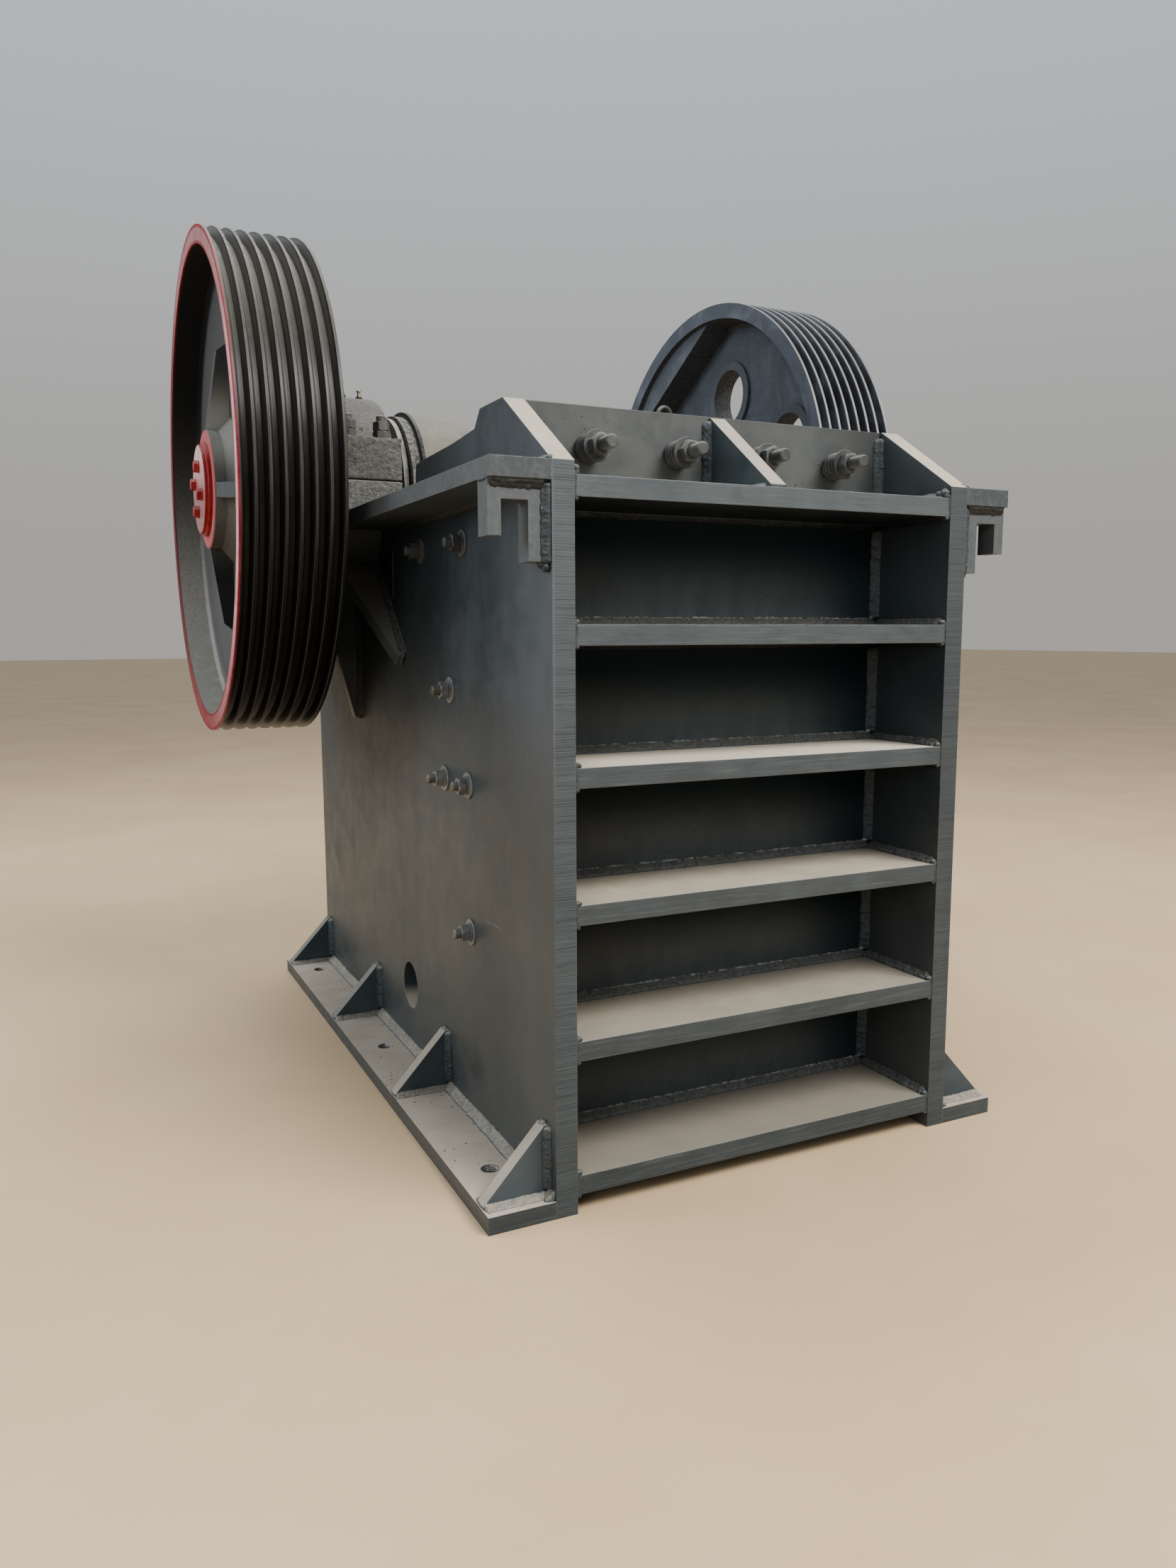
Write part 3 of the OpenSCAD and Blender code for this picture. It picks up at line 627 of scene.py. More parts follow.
        # the ears above the flange are dull with dust and rubbed in places
        ear = n.math("MULTIPLY", n.rng(z, 1.560, 1.585), n.rng(n.noise(12, 5, 0.7, 0.8, loc=(7, 1, 5)), 0.30, 0.66, 0.45, 1.0))
        col = n.mix(n.math("MULTIPLY", ear, 0.42), col, (0.066, 0.071, 0.072))
    if weld:
        grain = n.noise(120, 4, 0.65)
        speck = n.rng(grain, 0.40, 0.66)
        col = n.mix(n.math("MULTIPLY", speck, 0.40), col, (0.088, 0.096, 0.096))
        col = n.mix(n.rng(grain, 0.42, 0.30, 0.0, 0.55), col, (0.015, 0.018, 0.019))
        crumb = n.rng(n.noise(95, 3, 0.8, loc=(3, 3, 8)), 0.64, 0.70)
        col = n.mix(n.math("MULTIPLY", crumb, 0.45), col, (0.24, 0.25, 0.245))
        # painted shade: the bead darkens where it faces down
        col = n.mix(n.rng(nz, -0.05, -0.5, 0.0, 0.75), col, (0.013, 0.015, 0.016))
        height = n.math("ADD", height, n.math("MULTIPLY", grain, 5.0))
        # bright broken line along the upper toe of the beads on the front wall
        toe = None
        for top in RIBS:
            one = n.math("MULTIPLY", n.rng(z, top + 0.0160, top + 0.0178), n.rng(z, top + 0.0240, top + 0.0222))
            toe = one if toe is None else n.math("ADD", toe, one)
        toe = n.math("MULTIPLY", n.math("MULTIPLY", toe, n.rng(n.noise(70, 4, 0.75, 0.3, loc=(1, 9, 3)), 0.42, 0.58)), n.math("MULTIPLY", n.rng(y, WALL - 0.010, WALL - 0.006), n.rng(y, WALL + 0.012, WALL + 0.006)))
        col = n.mix(n.math("MULTIPLY", toe, 0.85), col, (0.40, 0.40, 0.38))
    if under > 0:
        # the brackets under the flanges are a little lighter, partly dust and partly painted light; the flange's side
        # edges get painted light
        col = n.mix(n.rng(z, 1.522, 1.516, 0.0, under), col, (0.150, 0.154, 0.155))
        col = n.mix(n.math("MULTIPLY", n.rng(n.math("ABSOLUTE", nx), 0.7, 0.95), n.rng(z, 1.516, 1.522, 0.0, 0.22)), col, (0.160, 0.166, 0.170))
    if below > 0:
        # painted shade: between the posts, what faces down is darkened
        underside_shade = n.math("MULTIPLY", n.rng(nz, -0.20, -0.70, 0.0, below), n.rng(n.math("ABSOLUTE", x), IW + 0.002, IW - 0.002))
        col = n.mix(n.math("MULTIPLY", underside_shade, n.rng(y, 0.0, -0.1)), col, (0.005, 0.008, 0.010))
    # the enamel leans to blue-green
    col = n.mix(1.0, col, (0.955, 1.0, 1.040), "MULTIPLY")
    bev = n.bevel(bevel) if bevel else None
    if bev is not None and edge > 0:
        e = n.math("SUBTRACT", 1.0, n.dot(bev, n.N), True)
        e = n.rng(e, 0.02, 0.22)
        e = n.math("MULTIPLY", e, n.rng(n.noise(55, 4, 0.7), 0.30, 0.62, 0.15, 1.0))
        col = n.mix(n.math("MULTIPLY", e, edge), col, (0.20, 0.205, 0.19))
    # dust lies on what faces up
    up = n.rng(nz, 0.22, 0.80)
    patch = n.rng(n.noise(5, 4, 0.55, 0.3, loc=off), 0.25, 0.55, even, 1.0)
    d = n.math("MULTIPLY", n.math("MULTIPLY", up, patch), dust, True)
    if fade < 1:
        d = n.math("MULTIPLY", d, n.rng(y, -0.45, 0.45, 1.0, fade))
    if weld:
        d = n.math("MULTIPLY", d, n.rng(grain, 0.34, 0.62, 0.55, 1.0))
    dvar = n.math("ADD", n.math("MULTIPLY", n.noise(12, 4, 0.6, 0.4), 0.5), n.math("MULTIPLY", n.noise(260, 3, 0.7), 0.5))
    dustc = (dustc[0] * 1.015, dustc[1], dustc[2] * 0.955)
    dcol = n.mix(n.rng(dvar, 0.34, 0.66), tuple(c * 0.88 for c in dustc), tuple(c * 1.07 for c in dustc))
    if dust_light_layers is not None:
        # dust with painted light and shade on the rib tops: darker low down and towards the side plates, lighter higher
        # up
        dcol = n.mix(n.rng(z, dust_light_layers[0], dust_light_layers[1], dust_light_layers[2], 0.0, False), dcol, tuple(c * 0.42 for c in DUST))
        dcol = n.mix(n.rng(z, dust_light_layers[1], dust_light_layers[1] + 0.30, 0.0, dust_light_layers[3], False), dcol, (0.735, 0.675, 0.575))
        dcol = n.mix(n.rng(n.math("ABSOLUTE", x), 0.34, 0.50, 0.0, 0.35), dcol, tuple(c * 0.55 for c in DUST))
    col = n.mix(d, col, dcol)
    if specks > 0:
        sp = n.math("MULTIPLY", n.rng(n.voronoi(42), 0.125, 0.105), n.rng(n.noise(5, 2, 0.5, loc=(9, 2, 4)), 0.53, 0.58))
        col = n.mix(n.math("MULTIPLY", sp, specks), col, (0.018, 0.017, 0.015))
    grit = n.noise(420, 2, 0.7)
    height = n.math("ADD", height, n.math("MULTIPLY", n.math("MULTIPLY", grit, d), 0.7))
    rgh = n.mix(d, rgh, (0.92, 0.92, 0.92))
    n.put(n.b.inputs["Base Color"], col)
    n.put(n.b.inputs["Roughness"], rgh)
    n.b.inputs["IOR"].default_value = 1.5
    n.put(n.b.inputs["Normal"], n.bump(height, 0.0004, 0.55, bev))
    return n.mat


def cast_paint(name, a, b, dust=0.8, bumpy=1.0, scale=1.0, seed=0.0, rough=0.75, bevel=0.003, edge=0.3):
    """Rough sand-cast skin under thin paint."""
    n = Nodes(name)
    off = (seed, seed * 2, seed * 3)
    big = n.noise(5 * scale, 4, 0.6, 0.3, loc=off)
    gr = n.noise(120 * scale, 5, 0.72, 0.7, stretch=(1.0, 1.0, 1.15), loc=off)
    pit = n.voronoi(70 * scale, stretch=(1, 1, 1.5))
    col = n.mix(n.rng(big, 0.3, 0.7), a, b)
    col = n.mix(n.rng(gr, 0.40, 0.62, 0.55, 0.0), col, tuple(c * 0.35 for c in a))
    col = n.mix(n.rng(gr, 0.55, 0.75, 0.0, 0.45), col, tuple(min(1, c * 1.5) for c in b))
    nx, ny, nz = n.sep(n.N)
    up = n.rng(nz, 0.15, 0.85)
    d = n.math("MULTIPLY", n.math("MULTIPLY", up, n.rng(n.noise(14, 5, 0.65), 0.28, 0.55, 0.5, 1.0)), dust, True)
    dcol = n.mix(n.rng(n.noise(45, 5, 0.7), 0.3, 0.7), tuple(c * 0.8 for c in DUST), tuple(c * 1.12 for c in DUST))
    col = n.mix(d, col, dcol)
    n.put(n.b.inputs["Base Color"], col)
    n.put(n.b.inputs["Roughness"], n.rng(gr, 0.3, 0.7, rough - 0.1, min(1.0, rough + 0.12), False))
    scale2 = n.noise(58 * scale, 4, 0.70, 1.1, stretch=(1.0, 1.0, 1.3))
    hole = n.rng(n.voronoi(23 * scale, stretch=(1, 1, 1.3)), 0.16, 0.10)
    n.put(n.b.inputs["Base Color"], n.mix(n.math("MULTIPLY", hole, 0.75 * bumpy), col, (0.012, 0.012, 0.012)))
    h = n.math("ADD", n.math("MULTIPLY", gr, 1.0), n.math("MULTIPLY", n.rng(pit, 0.0, 0.35), 0.5))
    h = n.math("ADD", h, n.math("MULTIPLY", scale2, 1.8))
    h = n.math("SUBTRACT", h, n.math("MULTIPLY", hole, 1.2))
    n.put(n.b.inputs["Normal"], n.bump(h, 0.0038 * bumpy, 0.95, n.bevel(bevel) if bevel else None))
    return n.mat


def wheel_paint(name, near):
    """Flywheel: painted face, turned rim with bare or painted lands, black grooves, rough cast inside the rim, and
    painted light and shade.
    """
    n = Nodes(name)
    r, ax, dy, dz = n.radius()
    nx, ny, nz = n.sep(n.N)
    anx = n.math("ABSOLUTE", nx)
    big = n.noise(3.0, 4, 0.6, 0.4)
    gr = n.noise(120, 5, 0.7)
    smudge = n.noise(16, 5, 0.65, 0.8)
    base = n.mix(n.rng(big, 0.3, 0.7), (0.030, 0.038, 0.050), (0.054, 0.067, 0.087))
    # smudges and thumbed dust on the faces
    base = n.mix(n.rng(smudge, 0.52, 0.74, 0.0, 0.35), base, (0.11, 0.115, 0.12))
    # inside of the rim and the web: sand-cast skin, dusty at the bottom
    cast = n.math("MULTIPLY", n.rng(r, 0.6635, 0.6610), n.rng(anx, 0.995, 0.90, 0.35, 1.0))
    castc = n.mix(n.rng(gr, 0.3, 0.7), (0.118, 0.117, 0.110), (0.160, 0.158, 0.148))
    if not near:
        castc = n.mix(n.rng(gr, 0.3, 0.7), (0.055, 0.062, 0.066), (0.125, 0.132, 0.134))
    low = n.math("MULTIPLY", n.rng(dz, 0.20, -0.50), n.rng(nz, -0.5, 0.35))
    inner = n.rng(r, 0.600, 0.640)
    if near:
        # the inside of the rim: painted shade makes it nearly black overhead, and it is sandy grey below; ribs and hub
        # dull grey with a painted lit patch under a painted shadow, and painted shade where they face down
        stand = n.math("MULTIPLY", n.rng(anx, 0.90, 0.60), n.math("SUBTRACT", 1.0, inner))
        # painted light: a lit patch low on the ribs' front faces
        castc = n.mix(n.math("MULTIPLY", stand, n.math("MULTIPLY", n.rng(dz, 0.34, 0.17), n.rng(dz, 0.02, 0.12, 0.0, 0.85))), castc, (0.350, 0.344, 0.322))
        # painted shadow: higher up on the ribs' front faces
        castc = n.mix(n.math("MULTIPLY", stand, n.rng(dz, 0.22, 0.38, 0.0, 0.70)), castc, (0.028, 0.030, 0.033))
        # painted shade: the inside of the rim darkens towards the top
        castc = n.mix(n.math("MULTIPLY", inner, n.rng(dz, -0.20, 0.40, 0.25, 0.97)), castc, (0.011, 0.013, 0.016))
        # painted shade: ribs and hub below the centre, where they face the front
        under = n.math("MULTIPLY", n.math("SUBTRACT", 1.0, inner), n.rng(dz, -0.06, -0.26))
        castc = n.mix(n.math("MULTIPLY", under, n.rng(ny, 0.2, -0.6, 0.35, 0.92)), castc, (0.016, 0.018, 0.021))
        low = n.math("MULTIPLY", low, inner)
    castc = n.mix(n.math("MULTIPLY", low, 0.92), castc, n.mix(n.rng(gr, 0.3, 0.7), (0.26, 0.256, 0.238), (0.36, 0.352, 0.330)))
    if near:
        # painted shade and light: the near wheel's painted faces darken towards the top and lighten towards the bottom
        base = n.mix(n.rng(dz, -0.10, 0.45, 0.10, 0.72), base, (0.010, 0.012, 0.017))
        base = n.mix(n.rng(dz, -0.10, -0.35, 0.0, 0.60), base, (0.120, 0.124, 0.122))
    base = n.mix(cast, base, castc)
    # belt grooves: soot black, with bare crest lines on the lands
    g = n.rng(r, 0.7085, 0.7045)
    outer = n.rng(r, 0.6700, 0.6760)
    flank = n.math("MULTIPLY", outer, n.rng(anx, 0.985, 0.97))
    groove = n.mix(n.noise(20, 4, 0.6), (0.005, 0.005, 0.005), (0.022, 0.021, 0.020))
    high = n.math("DIVIDE", dz, n.math("MAXIMUM", r, 0.01))
    if near:
        run = n.noise(1.0, 4, 0.7, 0.2, stretch=(260, 4, 4))
        groove = n.mix(n.math("MULTIPLY", n.rng(high, -0.28, 0.80), n.rng(run, 0.30, 0.65, 0.50, 1.0)), groove, (0.122, 0.114, 0.103))
    col = n.mix(n.math("MULTIPLY", flank, g), base, groove)
    land = n.math("MULTIPLY", flank, n.rng(r, 0.7090, 0.7104))
    ang = n.noise(1.0, 4, 0.7, stretch=(900, 6, 6))
    landc = n.mix(n.rng(ang, 0.3, 0.7), (0.022, 0.021, 0.019) if near else (0.09, 0.09, 0.088), (0.100, 0.095, 0.088) if near else (0.27, 0.265, 0.25))
    if near:
        landc = n.mix(n.rng(high, 0.25, 0.75, 0.0, 0.80), landc, (0.078, 0.073, 0.066))
    # painted shade: the lands turn near black where they face down
    landc = n.mix(n.rng(nz, 0.10, -0.45, 0.0, 0.93), landc, (0.006, 0.006, 0.006))
    col = n.mix(land, col, landc)
    if near:
        # red paint on the rim's end face, a little over its corner, and on the end of the hub
        face = n.math("MULTIPLY", n.rng(ax, 0.9950, 0.9998), n.rng(r, 0.6560, 0.6600))
        drip = n.noise(60, 4, 0.7)
        over = n.math("MULTIPLY", n.rng(n.math("ADD", ax, n.math("MULTIPLY", drip, 0.006)), 0.9985, 1.0005), n.rng(r, 0.69, 0.70))
        hub = n.math("MULTIPLY", n.rng(ax, 0.9772, 0.9782), n.rng(r, 0.180, 0.175))
        red = n.math("MAXIMUM", n.math("MAXIMUM", face, over), hub)
        dustr = n.rng(n.noise(26, 5, 0.7), 0.34, 0.72)
        redc = n.mix(dustr, (0.180, 0.009, 0.017), (0.245, 0.042, 0.052))
        # a pale film over the middle of the face, none on its corners: dust, with painted sheen stronger at the front
        # and top
        film = n.math("MULTIPLY", n.rng(r, 0.666, 0.672), n.rng(n.math("ADD", r, n.math("MULTIPLY", drip, 0.010)), 0.7105, 0.7035))
        film = n.math("MAXIMUM", film, hub)
        film = n.math("MULTIPLY", film, n.rng(n.noise(18, 4, 0.65, loc=(1, 5, 3)), 0.25, 0.6, 0.60, 1.0))
        front = n.math("MAXIMUM", n.rng(dy, 0.10, -0.45, 0.10, 0.62), n.rng(dz, 0.35, 0.66, 0.0, 0.55))
        front = n.math("MAXIMUM", front, n.math("MULTIPLY", n.rng(dy, -0.35, -0.62, 0.0, 0.92), n.rng(n.math("ABSOLUTE", n.math("ADD", dz, 0.06)), 0.42, 0.18)))
        front = n.math("MAXIMUM", front, n.math("MULTIPLY", hub, 0.35))
        redc = n.mix(n.math("MULTIPLY", hub, 0.65), redc, (0.385, 0.060, 0.055))
        redc = n.mix(n.math("MULTIPLY", film, front), redc, (0.42, 0.275, 0.292))
        # painted highlight: paler still at the front top
        redc = n.mix(n.math("MULTIPLY", film, n.math("MULTIPLY", n.rng(dy, -0.42, -0.64, 0.0, 0.55), n.rng(dz, 0.46, 0.25))), redc, (0.64, 0.48, 0.52))
        # painted shade: the rear part of the red is darker
        redc = n.mix(n.rng(dy, 0.25, 0.60, 0.0, 0.65), redc, (0.085, 0.010, 0.018))
        topd = n.rng(nz, -0.2, 0.9, 0.0, 0.35)
        redc = n.mix(topd, redc, (0.30, 0.13, 0.115))
        col = n.mix(red, col, redc)
    else:
        face = n.rng(anx, 0.9, 0.98)
        arcs = n.noise(1.0, 4, 0.6, 0.3, stretch=(1, 1, 1))
        col = n.mix(n.math("MULTIPLY", face, n.rng(n.noise(5, 5, 0.7, 1.2, loc=(3, 1, 7)), 0.42, 0.70, 0.2, 0.72)), col, (0.128, 0.145, 0.180))
    # dust where the rim faces up
    up = n.math("MULTIPLY", n.rng(nz, 0.20, 0.95), n.rng(n.noise(30, 4, 0.7), 0.3, 0.6, 0.4, 1.0))
    col = n.mix(n.math("MULTIPLY", up, 0.62 if near else 0.42), col, (0.190, 0.175, 0.145))
    n.put(n.b.inputs["Base Color"], col)
    n.b.inputs["Specular IOR Level"].default_value = 0.22 if near else 0.5
    rgh = n.mix(flank, (0.55, 0.55, 0.55), (0.30, 0.30, 0.30))
    rgh = n.mix(cast, rgh, (0.85, 0.85, 0.85))
    rgh = n.mix(up, rgh, (0.8, 0.8, 0.8))
    n.put(n.b.inputs["Roughness"], rgh)
    turn = n.noise(1.0, 3, 0.6, stretch=(700, 3, 3))
    h = n.math("ADD", n.math("MULTIPLY", n.math("MULTIPLY", gr, cast), 4.0), n.math("MULTIPLY", n.math("MULTIPLY", turn, flank), 0.8))
    h = n.math("ADD", h, n.math("MULTIPLY", smudge, 0.35))
    n.put(n.b.inputs["Normal"], n.bump(h, 0.0006, 0.8, n.bevel(0.0016)))
    return n.mat


def red_paint(name):
    n = Nodes(name)
    a = n.noise(30, 5, 0.7, 0.3)
    brush = n.noise(1.0, 4, 0.7, 0.4, stretch=(90, 90, 14))
    nx, ny, nz = n.sep(n.N)
    face = n.rng(n.math("ABSOLUTE", nx), 0.8, 0.97)
    r, ax, dy, dz = n.radius()
    col = n.mix(n.rng(a, 0.3, 0.7), (0.215, 0.008, 0.012), (0.320, 0.026, 0.028))
    # the face of the end plate is pale: dust with painted sheen
    pale = n.mix(n.rng(a, 0.3, 0.7), (0.25, 0.112, 0.113), (0.32, 0.165, 0.165))
    # painted highlight: paler towards the top
    pale = n.mix(n.rng(dz, -0.03, 0.10, 0.0, 0.85), pale, (0.66, 0.465, 0.460))
    plate = n.math("MULTIPLY", n.rng(ax, 1.0026, 1.0016), n.rng(r, 0.126, 0.1235))
    col = n.mix(n.math("MULTIPLY", n.math("MULTIPLY", face, plate), n.rng(n.noise(13, 4, 0.6, 0.4), 0.25, 0.5, 0.80, 1.0)), col, pale)
    col = n.mix(n.rng(nz, 0.45, 0.95, 0.0, 0.40), col, (0.44, 0.22, 0.18))
    n.put(n.b.inputs["Base Color"], col)
    n.put(n.b.inputs["Roughness"], n.rng(brush, 0.3, 0.7, 0.28, 0.5, False))
    n.put(n.b.inputs["Normal"], n.bump(n.math("ADD", brush, n.noise(150, 3, 0.6)), 0.0007, 0.7, n.bevel(0.0015)))
    return n.mat


def metal(name, a, b, rough=0.4, metallic=0.75, dust=0.4, turned=None, fine=140, bevel=0.0009, bump=0.00025):
    """Dull worked steel with handling marks and some dust on top."""
    n = Nodes(name)
    m1, m2 = n.noise(24, 5, 0.7, 0.4), n.noise(fine, 4, 0.7)
    col = n.mix(n.rng(m1, 0.3, 0.7), a, b)
    col = n.mix(n.rng(m2, 0.55, 0.8, 0.0, 0.5), col, tuple(c * 0.45 for c in a))
    nx, ny, nz = n.sep(n.N)
    d = n.math("MULTIPLY", n.math("MULTIPLY", n.rng(nz, 0.1, 0.85), n.rng(m1, 0.3, 0.6, 0.5, 1.0)), dust, True)
    col = n.mix(d, col, DUST)
    n.put(n.b.inputs["Base Color"], col)
    n.put(n.b.inputs["Metallic"], n.math("MULTIPLY", n.math("SUBTRACT", 1.0, d, True), metallic))
    n.put(n.b.inputs["Roughness"], n.mix(d, n.rng(m2, 0.3, 0.7, rough - 0.1, rough + 0.15, False), (0.9, 0.9, 0.9)))
    h = m2
    if turned:
        h = n.math("ADD", h, n.math("MULTIPLY", n.noise(1.0, 2, 0.5, stretch=turned), 1.5))
    n.put(n.b.inputs["Normal"], n.bump(h, bump, 0.8, n.bevel(bevel) if bevel else None))
    return n.mat


def barrel_dust(name):
    """Moving jaw: cast steel under a coat of beige dust, with a dark painted ring at each end of the barrel and a band
    of painted shadow where the ring meets the barrel.
    """
    n = Nodes(name)
    r, ax, dy, dz = n.radius()
    a = n.noise(6, 5, 0.65, 0.5)
    g = n.noise(85, 5, 0.72)
    nx, ny, nz = n.sep(n.N)
    under = n.mix(n.rng(a, 0.3, 0.7), (0.085, 0.083, 0.076), (0.145, 0.140, 0.126))
    dcol = n.mix(n.rng(n.noise(30, 5, 0.7), 0.3, 0.7), (0.184, 0.173, 0.146), (0.222, 0.209, 0.176))
    dcol = n.mix(n.rng(n.noise(210, 4, 0.75), 0.36, 0.66, 0.30, 0.0), dcol, (0.105, 0.099, 0.084))
    k = n.math("MULTIPLY", n.rng(nz, -0.65, 0.45, 0.12, 1.0), n.rng(a, 0.22, 0.5, 0.75, 1.0))
    col = n.mix(k, under, dcol)
    run = n.noise(1.0, 4, 0.7, 0.3, stretch=(34, 3, 3))
    col = n.mix(n.rng(run, 0.62, 0.76, 0.0, 0.35), col, (0.16, 0.155, 0.14))
    ring = n.rng(n.math("ADD", ax, n.math("MULTIPLY", n.noise(40, 3, 0.6), 0.004)), 0.3865, 0.3885)
    crust = n.noise(62, 5, 0.78, 1.2, loc=(2, 2, 7))
    ringc = n.mix(n.rng(g, 0.35, 0.7), (0.120, 0.118, 0.108), (0.205, 0.200, 0.182))
    ringc = n.mix(n.rng(crust, 0.54, 0.66, 0.0, 0.60), ringc, (0.030, 0.030, 0.027))
    # painted shadow: a dark band where the ring meets the barrel
    ringc = n.mix(n.rng(ax, 0.4010, 0.3975, 0.0, 0.80), ringc, (0.026, 0.026, 0.024))
    ringc = n.mix(n.rng(nz, 0.5, 1.0, 0.0, 0.40), ringc, (0.22, 0.205, 0.175))
    col = n.mix(ring, col, ringc)
    # bare rough face at the end of the barrel
    endf = n.math("MULTIPLY", n.rng(ax, 0.4262, 0.4266), n.rng(n.math("ABSOLUTE", nx), 0.6, 0.9))
    endc = n.mix(n.rng(n.noise(70, 5, 0.75), 0.35, 0.65), (0.085, 0.085, 0.078), (0.26, 0.25, 0.225))
    col = n.mix(endf, col, endc)
    n.put(n.b.inputs["Base Color"], col)
    n.put(n.b.inputs["Roughness"], n.mix(ring, (0.9, 0.9, 0.9), (0.8, 0.8, 0.8)))
    h = n.math("ADD", g, n.math("MULTIPLY", a, 1.5))
    h = n.math("ADD", h, n.math("MULTIPLY", n.math("MULTIPLY", n.rng(crust, 0.50, 0.64), ring), 2.2))
    n.put(n.b.inputs["Normal"], n.bump(h, 0.0015, 0.8, n.bevel(0.003)))
    return n.mat


def manganese(name):
    n = Nodes(name)
    a, g = n.noise(8, 5, 0.65, 0.5), n.noise(110, 5, 0.7)
    col = n.mix(n.rng(a, 0.3, 0.7), (0.085, 0.083, 0.080), (0.15, 0.145, 0.138))
    rust = n.math("MULTIPLY", n.rng(n.noise(14, 5, 0.7, 0.8), 0.52, 0.70), 0.5)
    col = n.mix(rust, col, (0.16, 0.085, 0.045))
    nx, ny, nz = n.sep(n.N)
    col = n.mix(n.rng(nz, 0.3, 0.9, 0.0, 0.8), col, DUST)
    n.put(n.b.inputs["Base Color"], col)
    n.b.inputs["Metallic"].default_value = 0.35
    n.put(n.b.inputs["Roughness"], n.rng(g, 0.3, 0.7, 0.5, 0.78, False))
    n.put(n.b.inputs["Normal"], n.bump(n.math("ADD", g, a), 0.0012, 0.8, n.bevel(0.0035)))
    return n.mat


MAT = {}


def make_materials():
    MAT["side"] = frame_paint("enamel_side", dust=0.9, streaks=0.30, cut=True, seed=1.0, warm=0.55, marks=True, edge=0.8, top_front_light=0.30,
                             bevel=0.0028)
    MAT["wall"] = frame_paint("enamel_wall", dust=0.85, streaks=0.15, seed=2.0, edge=0.45, recess_dust_and_shade=True, cold=0.45, film=0.03)
    MAT["rib"] = frame_paint("enamel_rib", dust=1.0, seed=3.0, edge=0.9, light=1.12, even=0.97, dust_light_layers=(0.05, 0.70, 0.75, 0.55), top_front_light=0.36,
                            brush=1.0, bevel=0.0032, below=0.88)
    MAT["foot"] = frame_paint("enamel_foot", dust=1.0, seed=4.0, edge=0.9, even=0.94, specks=0.9, light=1.1, warm=0.35,
                             dustc=(0.40, 0.352, 0.300), brush=0.7, bevel=0.0032)
    MAT["flange"] = frame_paint("enamel_flange", dust=0.72, seed=5.0, edge=0.9, light=1.25, even=0.7, tint=(0.068, 0.073, 0.074), film=0.14, mottle=0.75, under=0.30, bevel=0.0030)
    MAT["gusset"] = frame_paint("enamel_gusset", dust=0.76, fade=0.50, seed=6.0, edge=0.8, light=1.5, even=0.9, bevel=0.0030)
    MAT["saddle"] = frame_paint("enamel_saddle", dust=0.30, seed=9.0, edge=0.9, light=1.5, even=0.5, film=0.30)
    MAT["weld"] = frame_paint("enamel_weld", dust=0.26, seed=7.0, edge=0.0, bevel=0.0, weld=True, light=0.95, rough=0.55, below=0.85)
    MAT["weld_dusty"] = frame_paint("enamel_weld_dusty", dust=0.66, seed=8.0, edge=0.0, bevel=0.0, weld=True, light=1.25, rough=0.6)
    MAT["housing"] = cast_paint("cast_block", (0.140, 0.142, 0.135), (0.222, 0.221, 0.207), dust=0.40, bumpy=1.0, bevel=0)
    MAT["cap"] = cast_paint("cast_dome", (0.108, 0.105, 0.096), (0.174, 0.168, 0.153), dust=0.05, bumpy=0.6, seed=3.0, bevel=0)
    MAT["wheel_near"] = wheel_paint("wheel_near", True)
    MAT["wheel_far"] = wheel_paint("wheel_far", False)
    MAT["red"] = red_paint("red_enamel")
    MAT["nut"] = metal("nut_steel", (0.110, 0.116, 0.118), (0.222, 0.230, 0.232), rough=0.40, metallic=0.30, dust=0.22)
    MAT["stud"] = metal("stud_steel", (0.070, 0.066, 0.056), (0.170, 0.160, 0.138), rough=0.45, metallic=0.35, dust=0.35)
    MAT["nut_shaded"] = metal("nut_shaded", (0.030, 0.035, 0.038), (0.066, 0.073, 0.077), rough=0.5, metallic=0.2, dust=0.20)
    MAT["bearing_nut"] = metal("bearing_nut", (0.070, 0.069, 0.063), (0.128, 0.125, 0.114), rough=0.6, metallic=0.15, dust=0.45)
    MAT["washer"] = metal("washer_steel", (0.128, 0.134, 0.136), (0.250, 0.257, 0.258), rough=0.38, metallic=0.32, dust=0.24)
    MAT["clamp"] = metal("clamp_steel", (0.050, 0.053, 0.052), (0.108, 0.110, 0.106), rough=0.48, metallic=0.3, dust=0.24)
    MAT["spring"] = metal("spring_steel", (0.040, 0.042, 0.040), (0.090, 0.088, 0.082), rough=0.5, metallic=0.3, dust=0.25)
    MAT["turned"] = metal("turned_steel", (0.085, 0.083, 0.077), (0.155, 0.150, 0.138), rough=0.5, metallic=0.25, dust=0.3, turned=(420, 2, 2))
    MAT["seal"] = metal("seal_steel", (0.105, 0.103, 0.094), (0.190, 0.186, 0.170), rough=0.62, metallic=0.10, dust=0.45, turned=(300, 2, 2))
    MAT["brass"] = metal("brass", (0.30, 0.25, 0.15), (0.46, 0.40, 0.27), rough=0.34, metallic=0.85, dust=0.35)
    MAT["black"] = metal("black_fitting", (0.010, 0.010, 0.010), (0.024, 0.024, 0.024), rough=0.5, metallic=0.1, dust=0.2)
    MAT["jaw"] = barrel_dust("jaw_casting")
    MAT["manganese"] = manganese("manganese_cast")
    MAT["shaft"] = metal("shaft_steel", (0.30, 0.295, 0.28), (0.44, 0.43, 0.40), rough=0.34, metallic=0.8, dust=0.3, turned=(500, 2, 2))
    MAT["thread"] = metal("thread_steel", (0.20, 0.19, 0.175), (0.36, 0.345, 0.32), rough=0.38, metallic=0.8, dust=0.3)


